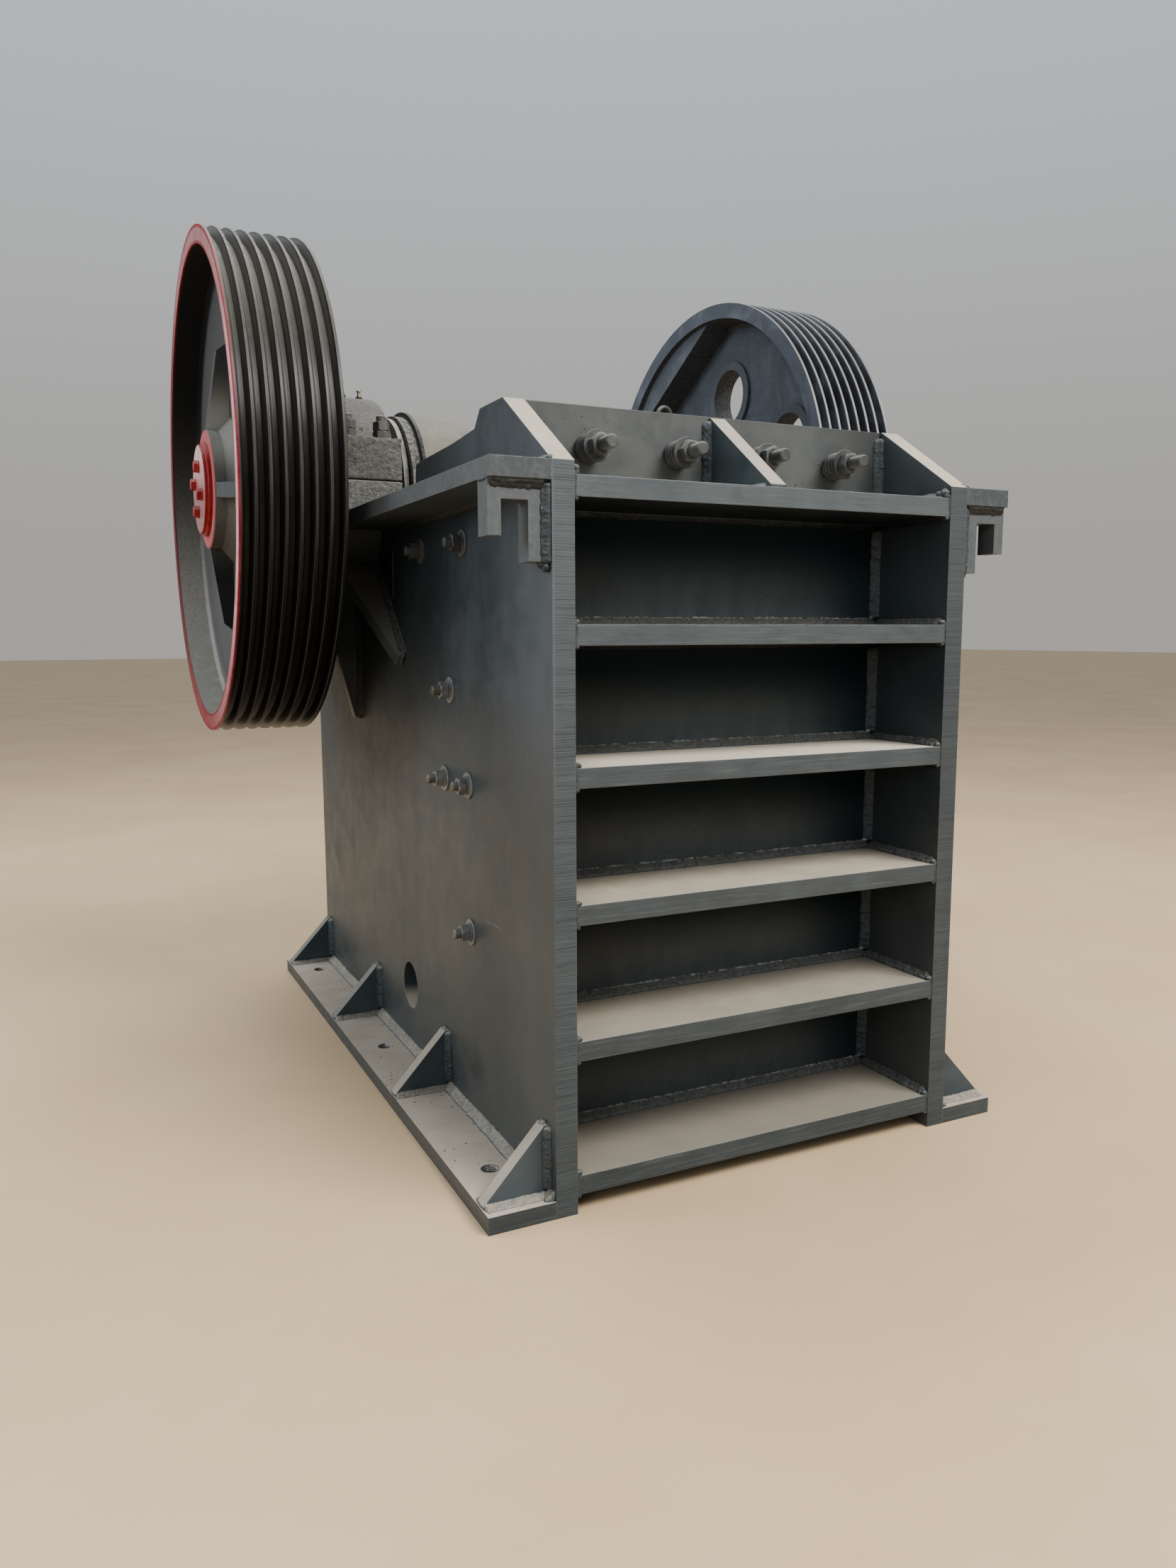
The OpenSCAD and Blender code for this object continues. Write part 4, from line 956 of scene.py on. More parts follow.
def paint_nodes():
    by = {}
    for name in NODE:
        if name.startswith("side_plate"):
            k = "side"
        elif name.startswith("front_rib"):
            k = "rib"
        elif name in ("front_wall", "rear_wall", "toggle_beam"):
            k = "wall"
        elif name == "rear_ribs":
            k = "rib"
        elif name.startswith("bearing_saddle"):
            k = "saddle"
        elif name.startswith("foot_gussets") or name == "upstand_gusset":
            k = "gusset"
        elif name.startswith("foot"):
            k = "foot"
        elif name.startswith("top_flange") or name.startswith("flange_bracket"):
            k = "flange"
        elif name.startswith("bearing_housing"):
            k = "housing"
        elif name.startswith("bearing_cap"):
            k = "cap"
        elif name == "flywheel_left":
            k = "wheel_near"
        elif name == "flywheel_right":
            k = "wheel_far"
        elif name.startswith("hub_cap"):
            k = "red"
        elif name == "moving_jaw":
            k = "jaw"
        elif name in ("moving_jaw_plate", "fixed_jaw_plate", "toggle_plate") or name.startswith("cheek"):
            k = "manganese"
        elif name == "seal_rings":
            k = "seal"
        elif name == "eccentric_shaft":
            k = "shaft"
        elif name in ("jaw_clamp_springs", "tension_spring"):
            k = "spring"
        elif name in ("jaw_clamp_bolts", "tension_rod", "adjusting_shims", "lifting_eyes"):
            k = "clamp"
        else:
            k = "side"
        by[name] = k
    for name, k in by.items():
        ob = NODE[name]
        ob.data.materials.clear()
        ob.data.materials.append(MAT[k])


# ---------------------------------------------------------------------------
# bolts
# ---------------------------------------------------------------------------
SIDE_BOLTS = [(-0.211, 1.452), (-0.537, 1.451), (-0.431, 1.098), (-0.377, 0.871), (-0.552, 0.872), (-0.555, 0.507)]


def side_bolts(sign):
    p = Part()
    for k, (y, z) in enumerate(SIDE_BOLTS):
        spin = math.radians([12, 41, 25, 3, 50, 18][k])
        at = axes((sign * (HW - 0.0005), y, z), (sign, 0, 0), (0, math.sin(spin), math.cos(spin)))
        p.add(*washer(0.0125, 0.0325, 0.0050), 1, at)
        up = axes((sign * (HW + 0.0045), y, z), (sign, 0, 0), (0, math.sin(spin), math.cos(spin)))
        # spring washer with its split
        t = np.linspace(0.10, 2 * math.pi - 0.10, 40)
        sec = np.array([[0.0128, 0.0], [0.0225, 0.0], [0.0225, 0.0048], [0.0128, 0.0048]])
        rows = np.stack([np.stack([np.cos(a) * sec[:, 0], np.sin(a) * sec[:, 0], sec[:, 1] + 0.0008 * (a / math.pi - 1)], -1) for a in t])
        f = grid_faces(len(t), 4, False, True).tolist() + [[3, 2, 1, 0], [(len(t) - 1) * 4 + j for j in range(4)]]
        p.add(rows.reshape(-1, 3), f, 1, up)
        nut = axes((sign * (HW + 0.0102), y, z), (sign, 0, 0), (0, math.sin(spin), math.cos(spin)))
        p.add(*hexnut(0.0375, 0.0195, 0.0118), 0, nut)
        p.add(*stud(0.024, -0.004, 0.0195 + [0.014, 0.018, 0.020, 0.019, 0.015, 0.0165][k], pitch=0.003, depth=0.0009, thread_from=0.014), 4, nut)
        # painted shade: the upper two bolts get darker copies of the nut and washer steel
        if k < 2:
            p.m = [{0: 2, 1: 3, 4: 2}.get(m, m) for m in p.m]
    side = "left" if sign < 0 else "right"
    return p.build("cheek_bolts_" + side, "frame", [MAT["nut"], MAT["washer"], MAT["nut_shaded"], MAT["clamp"], MAT["stud"]], "bolt_steel")


CLAMP_X = [-0.336, -0.110, 0.110, 0.336]
CLAMP_Z = 1.642


def clamp_bolts():
    p = Part()
    for k, x in enumerate(CLAMP_X):
        spin = math.radians([20, 8, 33, 52][k])
        at = axes((x, WALL, CLAMP_Z), (0, -1, 0), (math.sin(spin), 0, math.cos(spin)))
        p.add(*stud(0.030, -0.085, 0.127, depth=0.0005, thread_from=0.085, seg=36), 0, at)
        w = at.copy()
        w[:3, 3] += np.array([0, -0.052, 0])
        p.add(*washer(0.0155, 0.035, 0.006), 0, w)
        w = at.copy()
        w[:3, 3] += np.array([0, -0.058, 0])
        p.add(*hexnut(0.046, 0.024, 0.0148), 0, w)
    bar = np.array([[WALL_BACK + 0.001, 1.590], [WALL_BACK + 0.095, 1.590], [WALL_BACK + 0.075, 1.668],
                    [WALL_BACK + 0.030, 1.696], [WALL_BACK + 0.001, 1.696]])
    bm = bmesh.new()
    rows = [[bm.verts.new((s * 0.430, y, z)) for y, z in bar] for s in (-1, 1)]
    bm.faces.new(rows[0])
    bm.faces.new(rows[1][::-1])
    for i in range(5):
        j = (i + 1) % 5
        bm.faces.new((rows[0][i], rows[1][i], rows[1][j], rows[0][j]))
    bmesh.ops.bevel(bm, geom=list(bm.edges), offset=0.004, segments=2, profile=0.6, affect="EDGES")
    bm.verts.index_update()
    p.add(np.array([v.co for v in bm.verts]), [[q.index for q in f.verts] for f in bm.faces], 1)
    bm.free()
    p.build("jaw_clamp_hardware", "frame", [MAT["clamp"], MAT["manganese"]], "bolt_steel", replaces=("jaw_clamp_bolts",))
    s = Part()
    for k, x in enumerate(CLAMP_X):
        a = math.radians([30, 100, 200, 280][k])
        at = axes((x, WALL, CLAMP_Z), (0, -1, 0), (math.sin(a), 0, math.cos(a)))
        s.add(*coil(0.0272, 0.0056, 0.052, 2.35, 0.75), 0, at)
    s.build("jaw_clamp_coils", "frame", [MAT["spring"]], "spring_steel", replaces=("jaw_clamp_springs",))


def tension_gear():
    s = Part()
    at = axes((0, REAR_WALL1, 0.47299), (0, 1, 0))
    s.add(*coil(0.0455, 0.0088, 1.180 - REAR_WALL1, 8.0, 0.8, per=30), 0, at)
    s.build("tension_coil", "frame", [MAT["spring"]], "spring_steel", replaces=("tension_spring",))


def bearing_studs(sign):
    p = Part()
    k = 0
    for x in (0.545, 0.642):
        for y in (0.102, 0.806):
            spin = math.radians(17 + 23 * k)
            z0 = 1.662 + 0.118
            at = axes((sign * x, y, z0 + 0.0005), (0, 0, 1), (math.cos(spin), math.sin(spin), 0))
            p.add(*hexnut(0.0415, 0.0245, 0.0138), 0, at)
            at2 = axes((sign * x, y, z0 + 0.0258), (0, 0, 1), (math.cos(spin + 0.2 + k), math.sin(spin + 0.2 + k), 0))
            p.add(*hexnut(0.0415, 0.0245, 0.0138), 0, at2)
            p.add(*stud(0.028, -0.02, 0.068, thread_from=0.045), 0, at)
            k += 1
    side = "left" if sign < 0 else "right"
    return p.build("bearing_studs_" + side, "frame", [MAT["bearing_nut"]], "bolt_steel")


def nipple(sign):
    p = Part()
    x = sign * 0.514
    at = axes((x, AX_Y, AX_Z + 0.2925), (0, 0, 1))
    p.add(*hexnut(0.020, 0.010, 0, seg=48), 1, at)
    p.add(*lathe([(0, 0.009), (0.0062, 0.009), (0.0062, 0.016), (0.0048, 0.018), (0.0048, 0.025), (0.0065, 0.027),
                  (0.0065, 0.031), (0.0040, 0.034), (0, 0.0345)], 24), 0, at)
    side = "left" if sign < 0 else "right"
    return p.build("grease_nipple_" + side, "frame", [MAT["brass"], MAT["black"]], "machined_steel")


def hub_plate(sign):
    """Red end plate of the hub, stepped at its edge, with four bolts."""
    p = Part()
    at = axes((sign * 0.981, AX_Y, AX_Z), (sign, 0, 0))
    p.add(*lathe([(0, 0), (0.1340, 0), (0.1350, 0.001), (0.1350, 0.0090), (0.1342, 0.0102), (0.1290, 0.0108), (0.1282, 0.0118),
                  (0.1280, 0.0188), (0.1268, 0.0200), (0.030, 0.0200), (0.0290, 0.0192), (0, 0.0192)], 128), 0, at)
    side = "left" if sign < 0 else "right"
    for i in range(4):
        a = math.radians(18 + 90 * i)
        y, z = AX_Y + 0.066 * math.cos(a), AX_Z + 0.066 * math.sin(a)
        p.add(*washer(0.0105, 0.0185, 0.003), 0, axes((sign * 1.0008, y, z), (sign, 0, 0)))
        at = axes((sign * 1.0036, y, z), (sign, 0, 0), (0, math.sin(0.4 + i), math.cos(0.4 + i)))
        p.add(*hexnut(0.030, 0.013, 0, bottom=False), 0, at)
    return p.build("hub_plate_" + side, "rotor", [MAT["red"]], "red_paint", replaces=("hub_cap_" + side,))


def foot_threads():
    """Threads cut in the foundation bolt holes of the feet."""
    p = Part()
    pitch = 0.0042
    n = int((FOOT_T - 0.004) / pitch)
    inner = [(0.0202, 0.0008)]
    for i in range(n):
        z = 0.002 + i * pitch
        inner += [(0.0199, z + 0.0006), (0.0209, z + pitch * 0.5), (0.0199, z + pitch - 0.0006)]
    z_end = 0.002 + n * pitch
    loop = [(0.0214, 0.0008)] + inner[:1] + inner[1:] + [(0.0206, z_end + 0.0008), (0.0209, FOOT_T - 0.0004), (0.0214, FOOT_T - 0.0004)]
    for s in (-1, 1):
        for y in (-0.853, 0.0, 0.853):
            p.add(*lathe(loop, 56), 0, axes((s * 0.610, y, 0), (0, 0, 1)))
    p.build("foot_threads", "frame", [MAT["thread"]], "machined_steel")


# ---------------------------------------------------------------------------
# rough cast bearing blocks: the CAD shape with the skin of a sand casting
# ---------------------------------------------------------------------------
def cast_copy(node, name, mat, voxel, amp, squash_top=None, seed=0):
    src = NODE[node]
    me = src.data.copy()
    me.name = name
    ob = bpy.data.objects.new(name, me)
    bpy.context.scene.collection.objects.link(ob)
    bm = bmesh.new()
    bm.from_mesh(me)
    bmesh.ops.remove_doubles(bm, verts=bm.verts, dist=1e-5)
    bm.to_mesh(me)
    bm.free()
    mod = ob.modifiers.new("voxel", "REMESH")
    mod.mode = "VOXEL"
    mod.voxel_size = voxel
    mod.adaptivity = 0.0
    dg = bpy.context.evaluated_depsgraph_get()
    new = bpy.data.meshes.new_from_object(ob.evaluated_get(dg))
    ob.modifiers.clear()
    ob.data = new
    n = len(new.vertices)
    co = np.zeros(n * 3)
    new.vertices.foreach_get("co", co)
    co = co.reshape(-1, 3)
    nr = np.zeros(n * 3, np.float32)
    new.vertex_normals.foreach_get("vector", nr)
    nr = nr.reshape(-1, 3)
    h = amp(co, seed)
    co = co + nr * h[:, None]
    new.vertices.foreach_set("co", co.astype(np.float32).ravel())
    new.polygons.foreach_set("use_smooth", np.ones(len(new.polygons), bool))
    new.materials.clear()
    new.materials.append(mat)
    new.update()
    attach(ob, "frame")
    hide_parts(node)
    return ob


def block_skin(co, seed):
    """Height of the casting skin: coarse and scaly on the blocks, finer on the dome, nothing in the bore."""
    r = np.hypot(co[:, 1] - AX_Y, co[:, 2] - AX_Z)
    ax = np.abs(co[:, 0])
    dome = np.clip((co[:, 2] - 1.782) / 0.006, 0, 1)
    a = fbm(co, (70, 55, 120), 3, seed + 1)
    b = fbm(co, (150, 120, 210), 2, seed + 2)
    c = fbm(co, (14, 12, 16), 2, seed + 3)
    h = 0.0023 * a + 0.0016 * b + 0.0009 * c - 0.0011
    h = h * (1 - 0.72 * dome)
    bore = np.clip((r - 0.140) / 0.01, 0, 1)
    ends = np.clip((r - 0.262) / 0.02, 0, 1)              # flat faces round the shaft
    flat = np.where((ax > 0.686) | (ax < 0.508), 0.35 + 0.65 * ends, 1.0)
    split = np.clip(np.abs(co[:, 2] - AX_Z) / 0.006, 0, 1)
    h = h * bore * flat
    return np.where(split < 1, np.minimum(h, 0) * split - 0.0012 * (1 - split), h)


# ---------------------------------------------------------------------------
# weld beads
# ---------------------------------------------------------------------------
UP, DN = (0, 0, 1), (0, 0, -1)
FW, BW = (0, -1, 0), (0, 1, 0)


def front_welds():
    walls, posts, verts = Part(), Part(), Part()
    for i, top in enumerate(RIBS):
        bot = top - RIB_T
        walls.add(*bead((-IW, WALL, top), (IW, WALL, top), FW, UP, 0.0195, 0.0205, seed=20 + i, rough=1.2, ripple=0.0085, passes=2))
        if i < 5:
            walls.add(*bead((-IW, WALL, bot), (IW, WALL, bot), FW, DN, 0.014, seed=40 + i, rough=1.3, ripple=0.011, step=0.0045))
        for s in (-1, 1):
            inward = (-s, 0, 0)
            # along the side plates, above and below each rib
            posts.add(*bead((s * IW, FRONT + 0.008, top), (s * IW, WALL, top), inward, UP, 0.0165, 0.0175, seed=60 + 2 * i + s, rough=1.3, passes=2))
            if i < 5:
                posts.add(*bead((s * IW, FRONT + 0.010, bot), (s * IW, WALL, bot), inward, DN, 0.012, seed=90 + 2 * i + s, step=0.004))
            # end of the rib on the front face of the post
            posts.add(*bead((s * (IW - 0.001), FRONT + 0.0035, bot - 0.006), (s * (IW - 0.001), FRONT + 0.0035, top + 0.006), inward, FW, 0.0085, 0.0045,
                            seed=120 + 3 * i + s, rough=1.3, step=0.0022, ripple=0.006, bulge=0.02, taper=0.004))
            posts.add(*blob((s * (IW - 0.006), FRONT + 0.0075, top + 0.004), 0.0080, 11 * i + s + 3, (1.1, 1.0, 0.9)))
            posts.add(*blob((s * (IW + 0.001), FRONT + 0.0062, top + 0.0015), 0.0058, 11 * i + s + 77, (1.0, 0.9, 1.1)))
            posts.add(*blob((s * (IW - 0.005), FRONT + 0.0070, bot - 0.004), 0.0066, 13 * i + s + 5, (1.0, 1.0, 0.9)))
    # vertical corners between the front wall and the side plates
    tops = [WALL_TOP - 0.010] + [t - RIB_T for t in RIBS[:-1]]
    for i, (hi, lo) in enumerate(zip(tops, RIBS)):
        for s in (-1, 1):
            cut = 0.012 if i else 0.004
            verts.add(*bead((s * IW, WALL, lo + 0.010), (s * IW, WALL, hi - cut), (-s, 0, 0), FW, 0.0205, 0.0195,
                            seed=200 + 3 * i + s, rough=1.4, ripple=0.0085, bulge=0.04, passes=2))
    # gusset of the upstand
    for s in (-1, 1):
        verts.add(*bead((s * 0.020, WALL, RIBS[0] + 0.006), (s * 0.020, WALL, WALL_TOP - 0.010), (s, 0, 0), FW, 0.0190,
                        seed=240 + s, rough=1.8, ripple=0.010, bulge=0.08, passes=2))
        verts.add(*bead((s * 0.020, FRONT + 0.016, RIBS[0]), (s * 0.020, WALL, RIBS[0]), (s, 0, 0), UP, 0.0120, seed=250 + s, rough=1.3))
    verts.add(*bead((-0.016, FRONT + 0.0075, RIBS[0] + 0.0005), (0.016, FRONT + 0.0075, RIBS[0] + 0.0005), FW, UP, 0.0055, 0.0065,
                    seed=256, rough=1.5, step=0.002, bulge=0.1, taper=0.004))
    for s in (-1, 1):
        # lumps where the ear starts on the post
        for k, (dx, dy, dz, r) in enumerate(((0.003, 0.008, 0.001, 0.0075), (-0.004, 0.017, 0.006, 0.0065), (0.001, 0.030, 0.001, 0.0060))):
            verts.add(*blob((s * (HW + dx), FRONT + dy, POST + dz), r, 262 + 5 * k + s, (1.0, 1.2, 0.7)))
            verts.add(*blob((s * (IW - 0.004 - dx), FRONT + dy + 0.004, RIBS[0] + 0.010 + dz), r * 1.3, 282 + 5 * k + s, (0.8, 1.3, 1.0)))
    walls.build("weld_rib_wall", "frame", [MAT["weld"]], "frame_paint", angle=180)
    posts.build("weld_rib_post", "frame", [MAT["weld"]], "frame_paint", angle=180)
    verts.build("weld_corners", "frame", [MAT["weld"]], "frame_paint", angle=180)


def foot_welds():
    gy = [-1.003, -0.353, 0.312, 0.977]
    for s, side in ((-1, "left"), (1, "right")):
        p, q = Part(), Part()
        out = (s, 0, 0)
        stops = [FRONT + 0.004]
        for g in gy:
            stops += [g - 0.0175, g + 0.0175]
        stops.append(REAR - 0.004)
        for i in range(0, len(stops), 2):
            a, b = stops[i], stops[i + 1]
            if b - a > 0.02:
                p.add(*bead((s * HW, a, FOOT_T), (s * HW, b, FOOT_T), out, UP, 0.0235, 0.0195, seed=300 + i + s, rough=1.1, ripple=0.0095,
                            bulge=0.02, taper=0.004))
        for j, g in enumerate(gy):
            for t, dr in ((-1, FW), (1, BW)):
                y = g + t * 0.0175
                q.add(*bead((s * HW, y, FOOT_T + 0.010), (s * HW, y, 0.194), out, dr, 0.0165, 0.0150, seed=330 + 5 * j + t, rough=1.2,
                            ripple=0.0105, bulge=0.05))
                q.add(*bead((s * (HW + 0.004), y, FOOT_T), (s * (HW + 0.151), y, FOOT_T), UP, dr, 0.0110, 0.0210, seed=360 + 5 * j + t, rough=1.3,
                            ripple=0.0085, bulge=0.01, taper=0.004))
            for k in range(3):
                q.add(*blob((s * (HW + 0.003 + 0.003 * k), g + (k - 1) * 0.008, 0.193 + 0.002 * (k == 1)), 0.0062 + 0.001 * (k == 1),
                            400 + j + 9 * k, (1.0, 1.2, 0.7)))
            q.add(*blob((s * (HW + 0.150), g, FOOT_T + 0.001), 0.0055, 440 + j, (0.7, 1.8, 0.5)))
        # outside corner of the foot at the post
        q.add(*bead((s * HW, FRONT + 0.0020, 0.002), (s * HW, FRONT + 0.0020, FOOT_T - 0.001), out, FW, 0.0085, 0.0035, seed=380 + s, rough=1.3,
                    step=0.0022, bulge=0.02, taper=0.004))
        p.build("weld_foot_" + side, "frame", [MAT["weld_dusty"]], "frame_paint", angle=180)
        q.build("weld_gussets_" + side, "frame", [MAT["weld_dusty"]], "frame_paint", angle=180)


def gusset_line(sign, angle, tip_r, off):
    """Points of the inner edge of a radial gusset on the side plate, offset sideways by off."""
    a = math.radians(angle)
    u = np.array([0, math.cos(a), math.sin(a)])
    n = np.array([0, -math.sin(a), math.cos(a)])
    c = np.array([sign * HW, AX_Y, AX_Z])
    return c + u * 0.335 + n * off, c + u * (tip_r - 0.004) + n * off, n


def flange_welds():
    for s, side in ((-1, "left"), (1, "right")):
        p = Part()
        out = (s, 0, 0)
        z1, z0 = POST, POST - FLANGE_T
        half = 0.312
        # flange to side plate, below, on both sides of the bearing seat
        for a, b in ((FRONT + 0.066, AX_Y - half - 0.02), (AX_Y + half + 0.02, REAR - 0.004)):
            p.add(*bead((s * HW, a, z0), (s * HW, b, z0), out, DN, 0.014, seed=500 + s, rough=1.3, step=0.0042))
        # on top, against the ear of the side plate
        p.add(*bead((s * HW, FRONT + 0.012, z1), (s * HW, -0.190, z1), out, UP, 0.0135, 0.0125, seed=510 + s, rough=1.5, step=0.0036, passes=2))
        # bracket: under the flange, along the post, and at its back
        y0, y1 = FRONT + 0.012, FRONT + 0.064
        p.add(*bead((s * (HW + 0.010), y0, z0), (s * (FLANGE_X - 0.003), y0, z0), FW, DN, 0.0105, 0.0200, seed=520 + s, rough=1.5, step=0.0028,
                    bulge=0.03, taper=0.006, passes=2))
        p.add(*bead((s * HW, y0, z0 - 0.004), (s * HW, y0, z0 - 0.163), FW, out, 0.0105, 0.0205, seed=522 + s, rough=1.3, ripple=0.0085,
                    step=0.0024, bulge=0.06, taper=0.006))
        for k, (dx, dy, dz, r) in enumerate(((0.006, 0.004, -0.168, 0.0085), (0.014, 0.010, -0.160, 0.0090), (0.008, 0.016, -0.163, 0.0080))):
            p.add(*blob((s * (HW + dx), y0 + dy, z0 + dz), r, 600 + 3 * k + s, (1.0, 1.0, 1.1)))
        p.add(*bead((s * (HW + 0.045), y1, z0), (s * (FLANGE_X - 0.004), y1, z0), BW, DN, 0.012, seed=524 + s, rough=1.3))
        p.add(*bead((s * HW, y1, z0 - 0.150), (s * HW, y1, z0 - 0.012), out, BW, 0.013, seed=528 + s, rough=1.4))
        p.add(*bead((s * FLANGE_X, y0 + 0.003, z0), (s * FLANGE_X, y1 - 0.003, z0), (-s, 0, 0), DN, 0.004, 0.006, seed=530 + s, rough=1.0, step=0.0026, bulge=0.8))
        # end of the flange against the front face of the post
        p.add(*bead((s * HW, FRONT + 0.0022, z0 + 0.001), (s * HW, FRONT + 0.0022, z1 - 0.002), out, FW, 0.0095, 0.0035, seed=534 + s, rough=1.5,
                    step=0.0022, bulge=0.02, taper=0.004))
        # butt seam across the flange
        p.add(*bead((s * (FLANGE_X - 0.0012), -0.372, z0 + 0.001), (s * (FLANGE_X - 0.0012), -0.372, z1 - 0.001), out, FW, 0.0028, 0.0060, seed=540 + s,
                    rough=0.7, step=0.0022, bulge=0.1, taper=0.002))
        p.add(*bead((s * (HW + 0.012), -0.372, z1 - 0.0012), (s * (FLANGE_X - 0.001), -0.372, z1 - 0.0012), UP, FW, 0.0032, 0.0070, seed=544 + s,
                    rough=0.8, step=0.003, bulge=0.1))
        # radial gussets under the bearing
        for k, (ang, tip) in enumerate(((225, 0.702), (270, 0.686), (315, 0.702))):
            for t in (-1, 1):
                a, b, nn = gusset_line(s, ang, tip, t * 0.020)
                p.add(*bead(b, a, out, nn * t, 0.0150, 0.0165, seed=560 + 7 * k + t, rough=1.7, ripple=0.010, passes=2))
            tipc = (gusset_line(s, ang, tip, -0.012)[1], gusset_line(s, ang, tip, 0.0)[1], gusset_line(s, ang, tip, 0.012)[1])
            for j, c in enumerate(tipc):
                p.add(*blob((c[0] + s * 0.004, c[1], c[2]), 0.0095, 640 + 5 * k + j, (0.8, 1.0, 1.0)))
        # edge of the doubling plate behind the wheel
        p.add(*bead((s * HW, 0.047, 1.336), (s * HW, 0.047, 1.477), out, FW, 0.0035, 0.0060, seed=580 + s, rough=1.0, step=0.003, bulge=0.1))
        p.build("weld_flange_" + side, "frame", [MAT["weld"]], "frame_paint", angle=180)


def rear_welds():
    p = Part()
    for i, top in enumerate((1.320, 0.964, 0.382)):
        bot = top - RIB_T
        for z, d in ((top, UP), (bot, DN)):
            p.add(*bead((-IW, REAR_WALL1, z), (IW, REAR_WALL1, z), BW, d, 0.0115, seed=700 + i, rough=1.2, step=0.0045))
            for s in (-1, 1):
                p.add(*bead((s * IW, REAR_WALL1, z), (s * IW, REAR - 0.010, z), (-s, 0, 0), d, 0.010, seed=720 + i + s, step=0.004))
    for s in (-1, 1):
        for a, b in ((0.335, 0.339), (0.388, 0.915), (0.970, 1.271)):
            if b - a > 0.02:
                p.add(*bead((s * IW, REAR_WALL1, a), (s * IW, REAR_WALL1, b), (-s, 0, 0), BW, 0.014, seed=740 + s, rough=1.4, ripple=0.012, step=0.004))
    p.build("weld_rear", "frame", [MAT["weld"]], "frame_paint", angle=180)


def spatter():
    """Drops of weld metal near the seams."""
    p = Part()
    r = np.random.default_rng(11)
    for _ in range(22):      # front face of the upstand
        x, z = r.uniform(-0.47, 0.47), r.uniform(1.56, 1.72)
        s = r.uniform(0.0009, 0.0022)
        p.add(*blob((x, WALL, z), s, int(r.integers(1, 999)), (1, 0.6, 1)))
    for _ in range(70):      # recess walls, close to the seams
        k = int(r.integers(0, 6))
        x = r.uniform(-0.47, 0.47)
        z = RIBS[k] + abs(r.normal(0, 0.035)) + 0.014
        s = r.uniform(0.0009, 0.0024)
        p.add(*blob((x, WALL, z), s, int(r.integers(1, 999)), (1, 0.6, 1)))
    for _ in range(60):      # foot
        for sgn in (-1, 1):
            x, y = HW + 0.02 + abs(r.normal(0, 0.04)), r.uniform(FRONT + 0.03, REAR - 0.03)
            if x < FOOT_X - 0.004:
                s = r.uniform(0.0009, 0.0022)
                p.add(*blob((sgn * x, y, FOOT_T), s, int(r.integers(1, 999)), (1, 1, 0.6)))
    for _ in range(40):      # side plates, near the front edge and the feet
        for sgn in (-1, 1):
            y, z = r.uniform(FRONT + 0.01, REAR - 0.02), FOOT_T + 0.02 + abs(r.normal(0, 0.05))
            s = r.uniform(0.0009, 0.0020)
            p.add(*blob((sgn * HW, y, z), s, int(r.integers(1, 999)), (0.6, 1, 1)))
    p.build("weld_spatter", "frame", [MAT["weld"]], "frame_paint", angle=180)


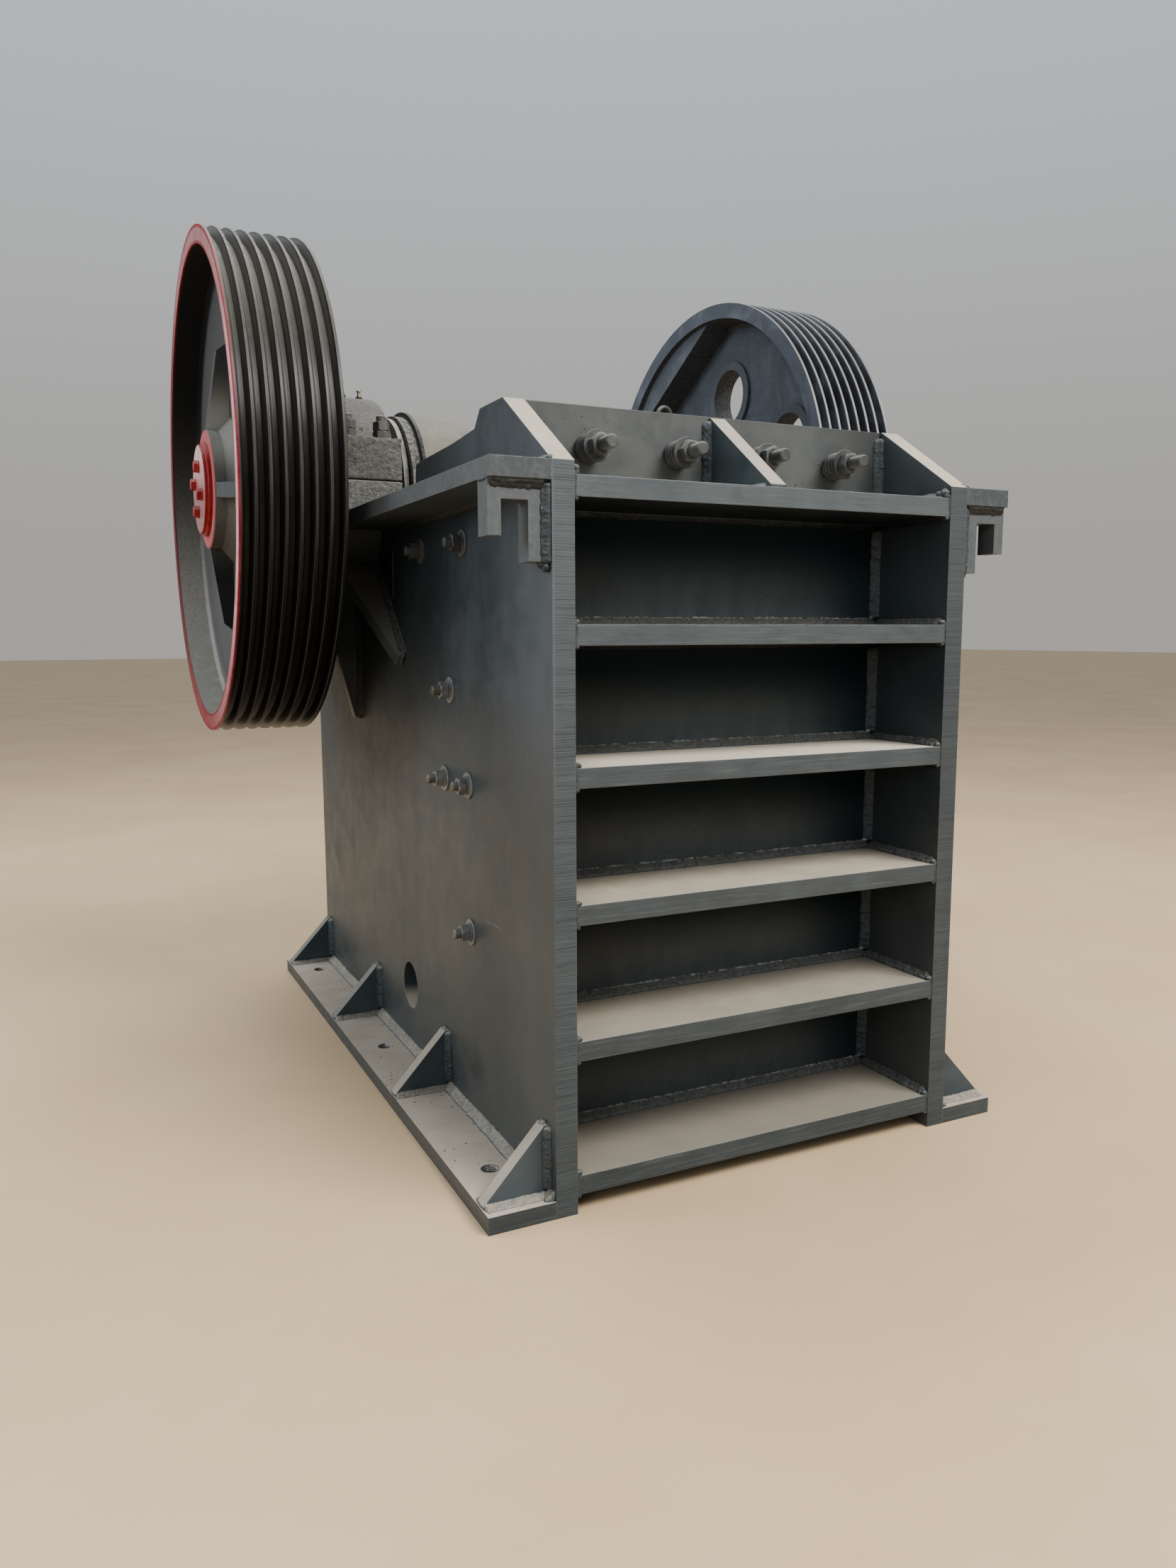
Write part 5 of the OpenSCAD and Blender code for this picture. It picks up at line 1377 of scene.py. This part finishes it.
# ---------------------------------------------------------------------------
# floor and light
# ---------------------------------------------------------------------------
def stage():
    me = bpy.data.meshes.new("floor")
    s = 60
    me.from_pydata([(-s, -s, 0), (s, -s, 0), (s, s, 0), (-s, s, 0)], [], [(0, 1, 2, 3)])
    ob = bpy.data.objects.new("floor", me)
    bpy.context.scene.collection.objects.link(ob)
    ob.location.z = -0.0005
    n = Nodes("pale_floor")
    a = n.noise(0.9, 5, 0.6, 0.3)
    n.put(n.b.inputs["Base Color"], n.mix(n.rng(a, 0.3, 0.7), (0.50, 0.372, 0.240), (0.545, 0.412, 0.272)))
    n.b.inputs["Roughness"].default_value = 0.72
    n.b.inputs["Specular IOR Level"].default_value = 0.25
    me.materials.append(n.mat)

    w = bpy.data.worlds.new("studio")
    bpy.context.scene.world = w
    w.use_nodes = True
    t = w.node_tree
    bg = t.nodes["Background"]
    tc = t.nodes.new("ShaderNodeTexCoord")
    sp = t.nodes.new("ShaderNodeSeparateXYZ")
    mr = t.nodes.new("ShaderNodeMapRange")
    mr.interpolation_type = "SMOOTHSTEP"
    mx = t.nodes.new("ShaderNodeMix")
    mx.data_type = "RGBA"
    t.links.new(tc.outputs["Generated"], sp.inputs[0])
    t.links.new(sp.outputs[2], mr.inputs[0])
    mr.inputs[1].default_value, mr.inputs[2].default_value = 0.0, 0.75
    t.links.new(mr.outputs[0], mx.inputs[0])
    mx.inputs[6].default_value = (0.50, 0.485, 0.46, 1)
    mx.inputs[7].default_value = (0.78, 0.84, 0.92, 1)
    t.links.new(mx.outputs[2], bg.inputs[0])
    bg.inputs[1].default_value = 0.75

    def area(name, loc, target, sx, sy, power, colour):
        li = bpy.data.lights.new(name, "AREA")
        li.shape, li.size, li.size_y, li.energy, li.color = "RECTANGLE", sx, sy, power, colour
        o = bpy.data.objects.new(name, li)
        o.location = loc
        o.rotation_euler = (Vector(target) - Vector(loc)).to_track_quat("-Z", "Y").to_euler()
        bpy.context.scene.collection.objects.link(o)

    area("roof_front", (2.4, -5.6, 7.2), (0.1, -0.7, 1.0), 5.0, 3.5, 900, (1.0, 0.985, 0.95))
    area("roof_back", (-0.5, 2.5, 7.0), (0.0, 0.3, 1.4), 5.0, 3.0, 220, (0.97, 0.985, 1.0))
    area("window_left", (-7.0, 2.2, 3.4), (-0.8, 0.2, 1.3), 3.5, 2.8, 235, (0.86, 0.94, 1.0))
    area("door_left", (-5.2, -5.4, 2.9), (-0.6, -0.9, 0.9), 3.0, 3.0, 108, (0.86, 0.94, 1.0))


# ---------------------------------------------------------------------------
# build
# ---------------------------------------------------------------------------
make_camera()
make_materials()
paint_nodes()
stage()
for sgn in (-1, 1):
    side_bolts(sgn)
    bearing_studs(sgn)
    nipple(sgn)
    hub_plate(sgn)
clamp_bolts()
tension_gear()
foot_threads()
for sgn, sd in ((-1, "left"), (1, "right")):
    cast_copy("bearing_housing_" + sd, "bearing_block_" + sd, MAT["housing"], 0.005, block_skin, seed=3 + sgn)
    cast_copy("bearing_cap_" + sd, "bearing_top_" + sd, MAT["cap"], 0.005, block_skin, seed=9 + sgn)
front_welds()
foot_welds()
flange_welds()
rear_welds()
spatter()

scene = bpy.context.scene
scene.view_settings.view_transform = "AgX"
scene.view_settings.look = "AgX - Medium High Contrast"
scene.view_settings.exposure = 0.0
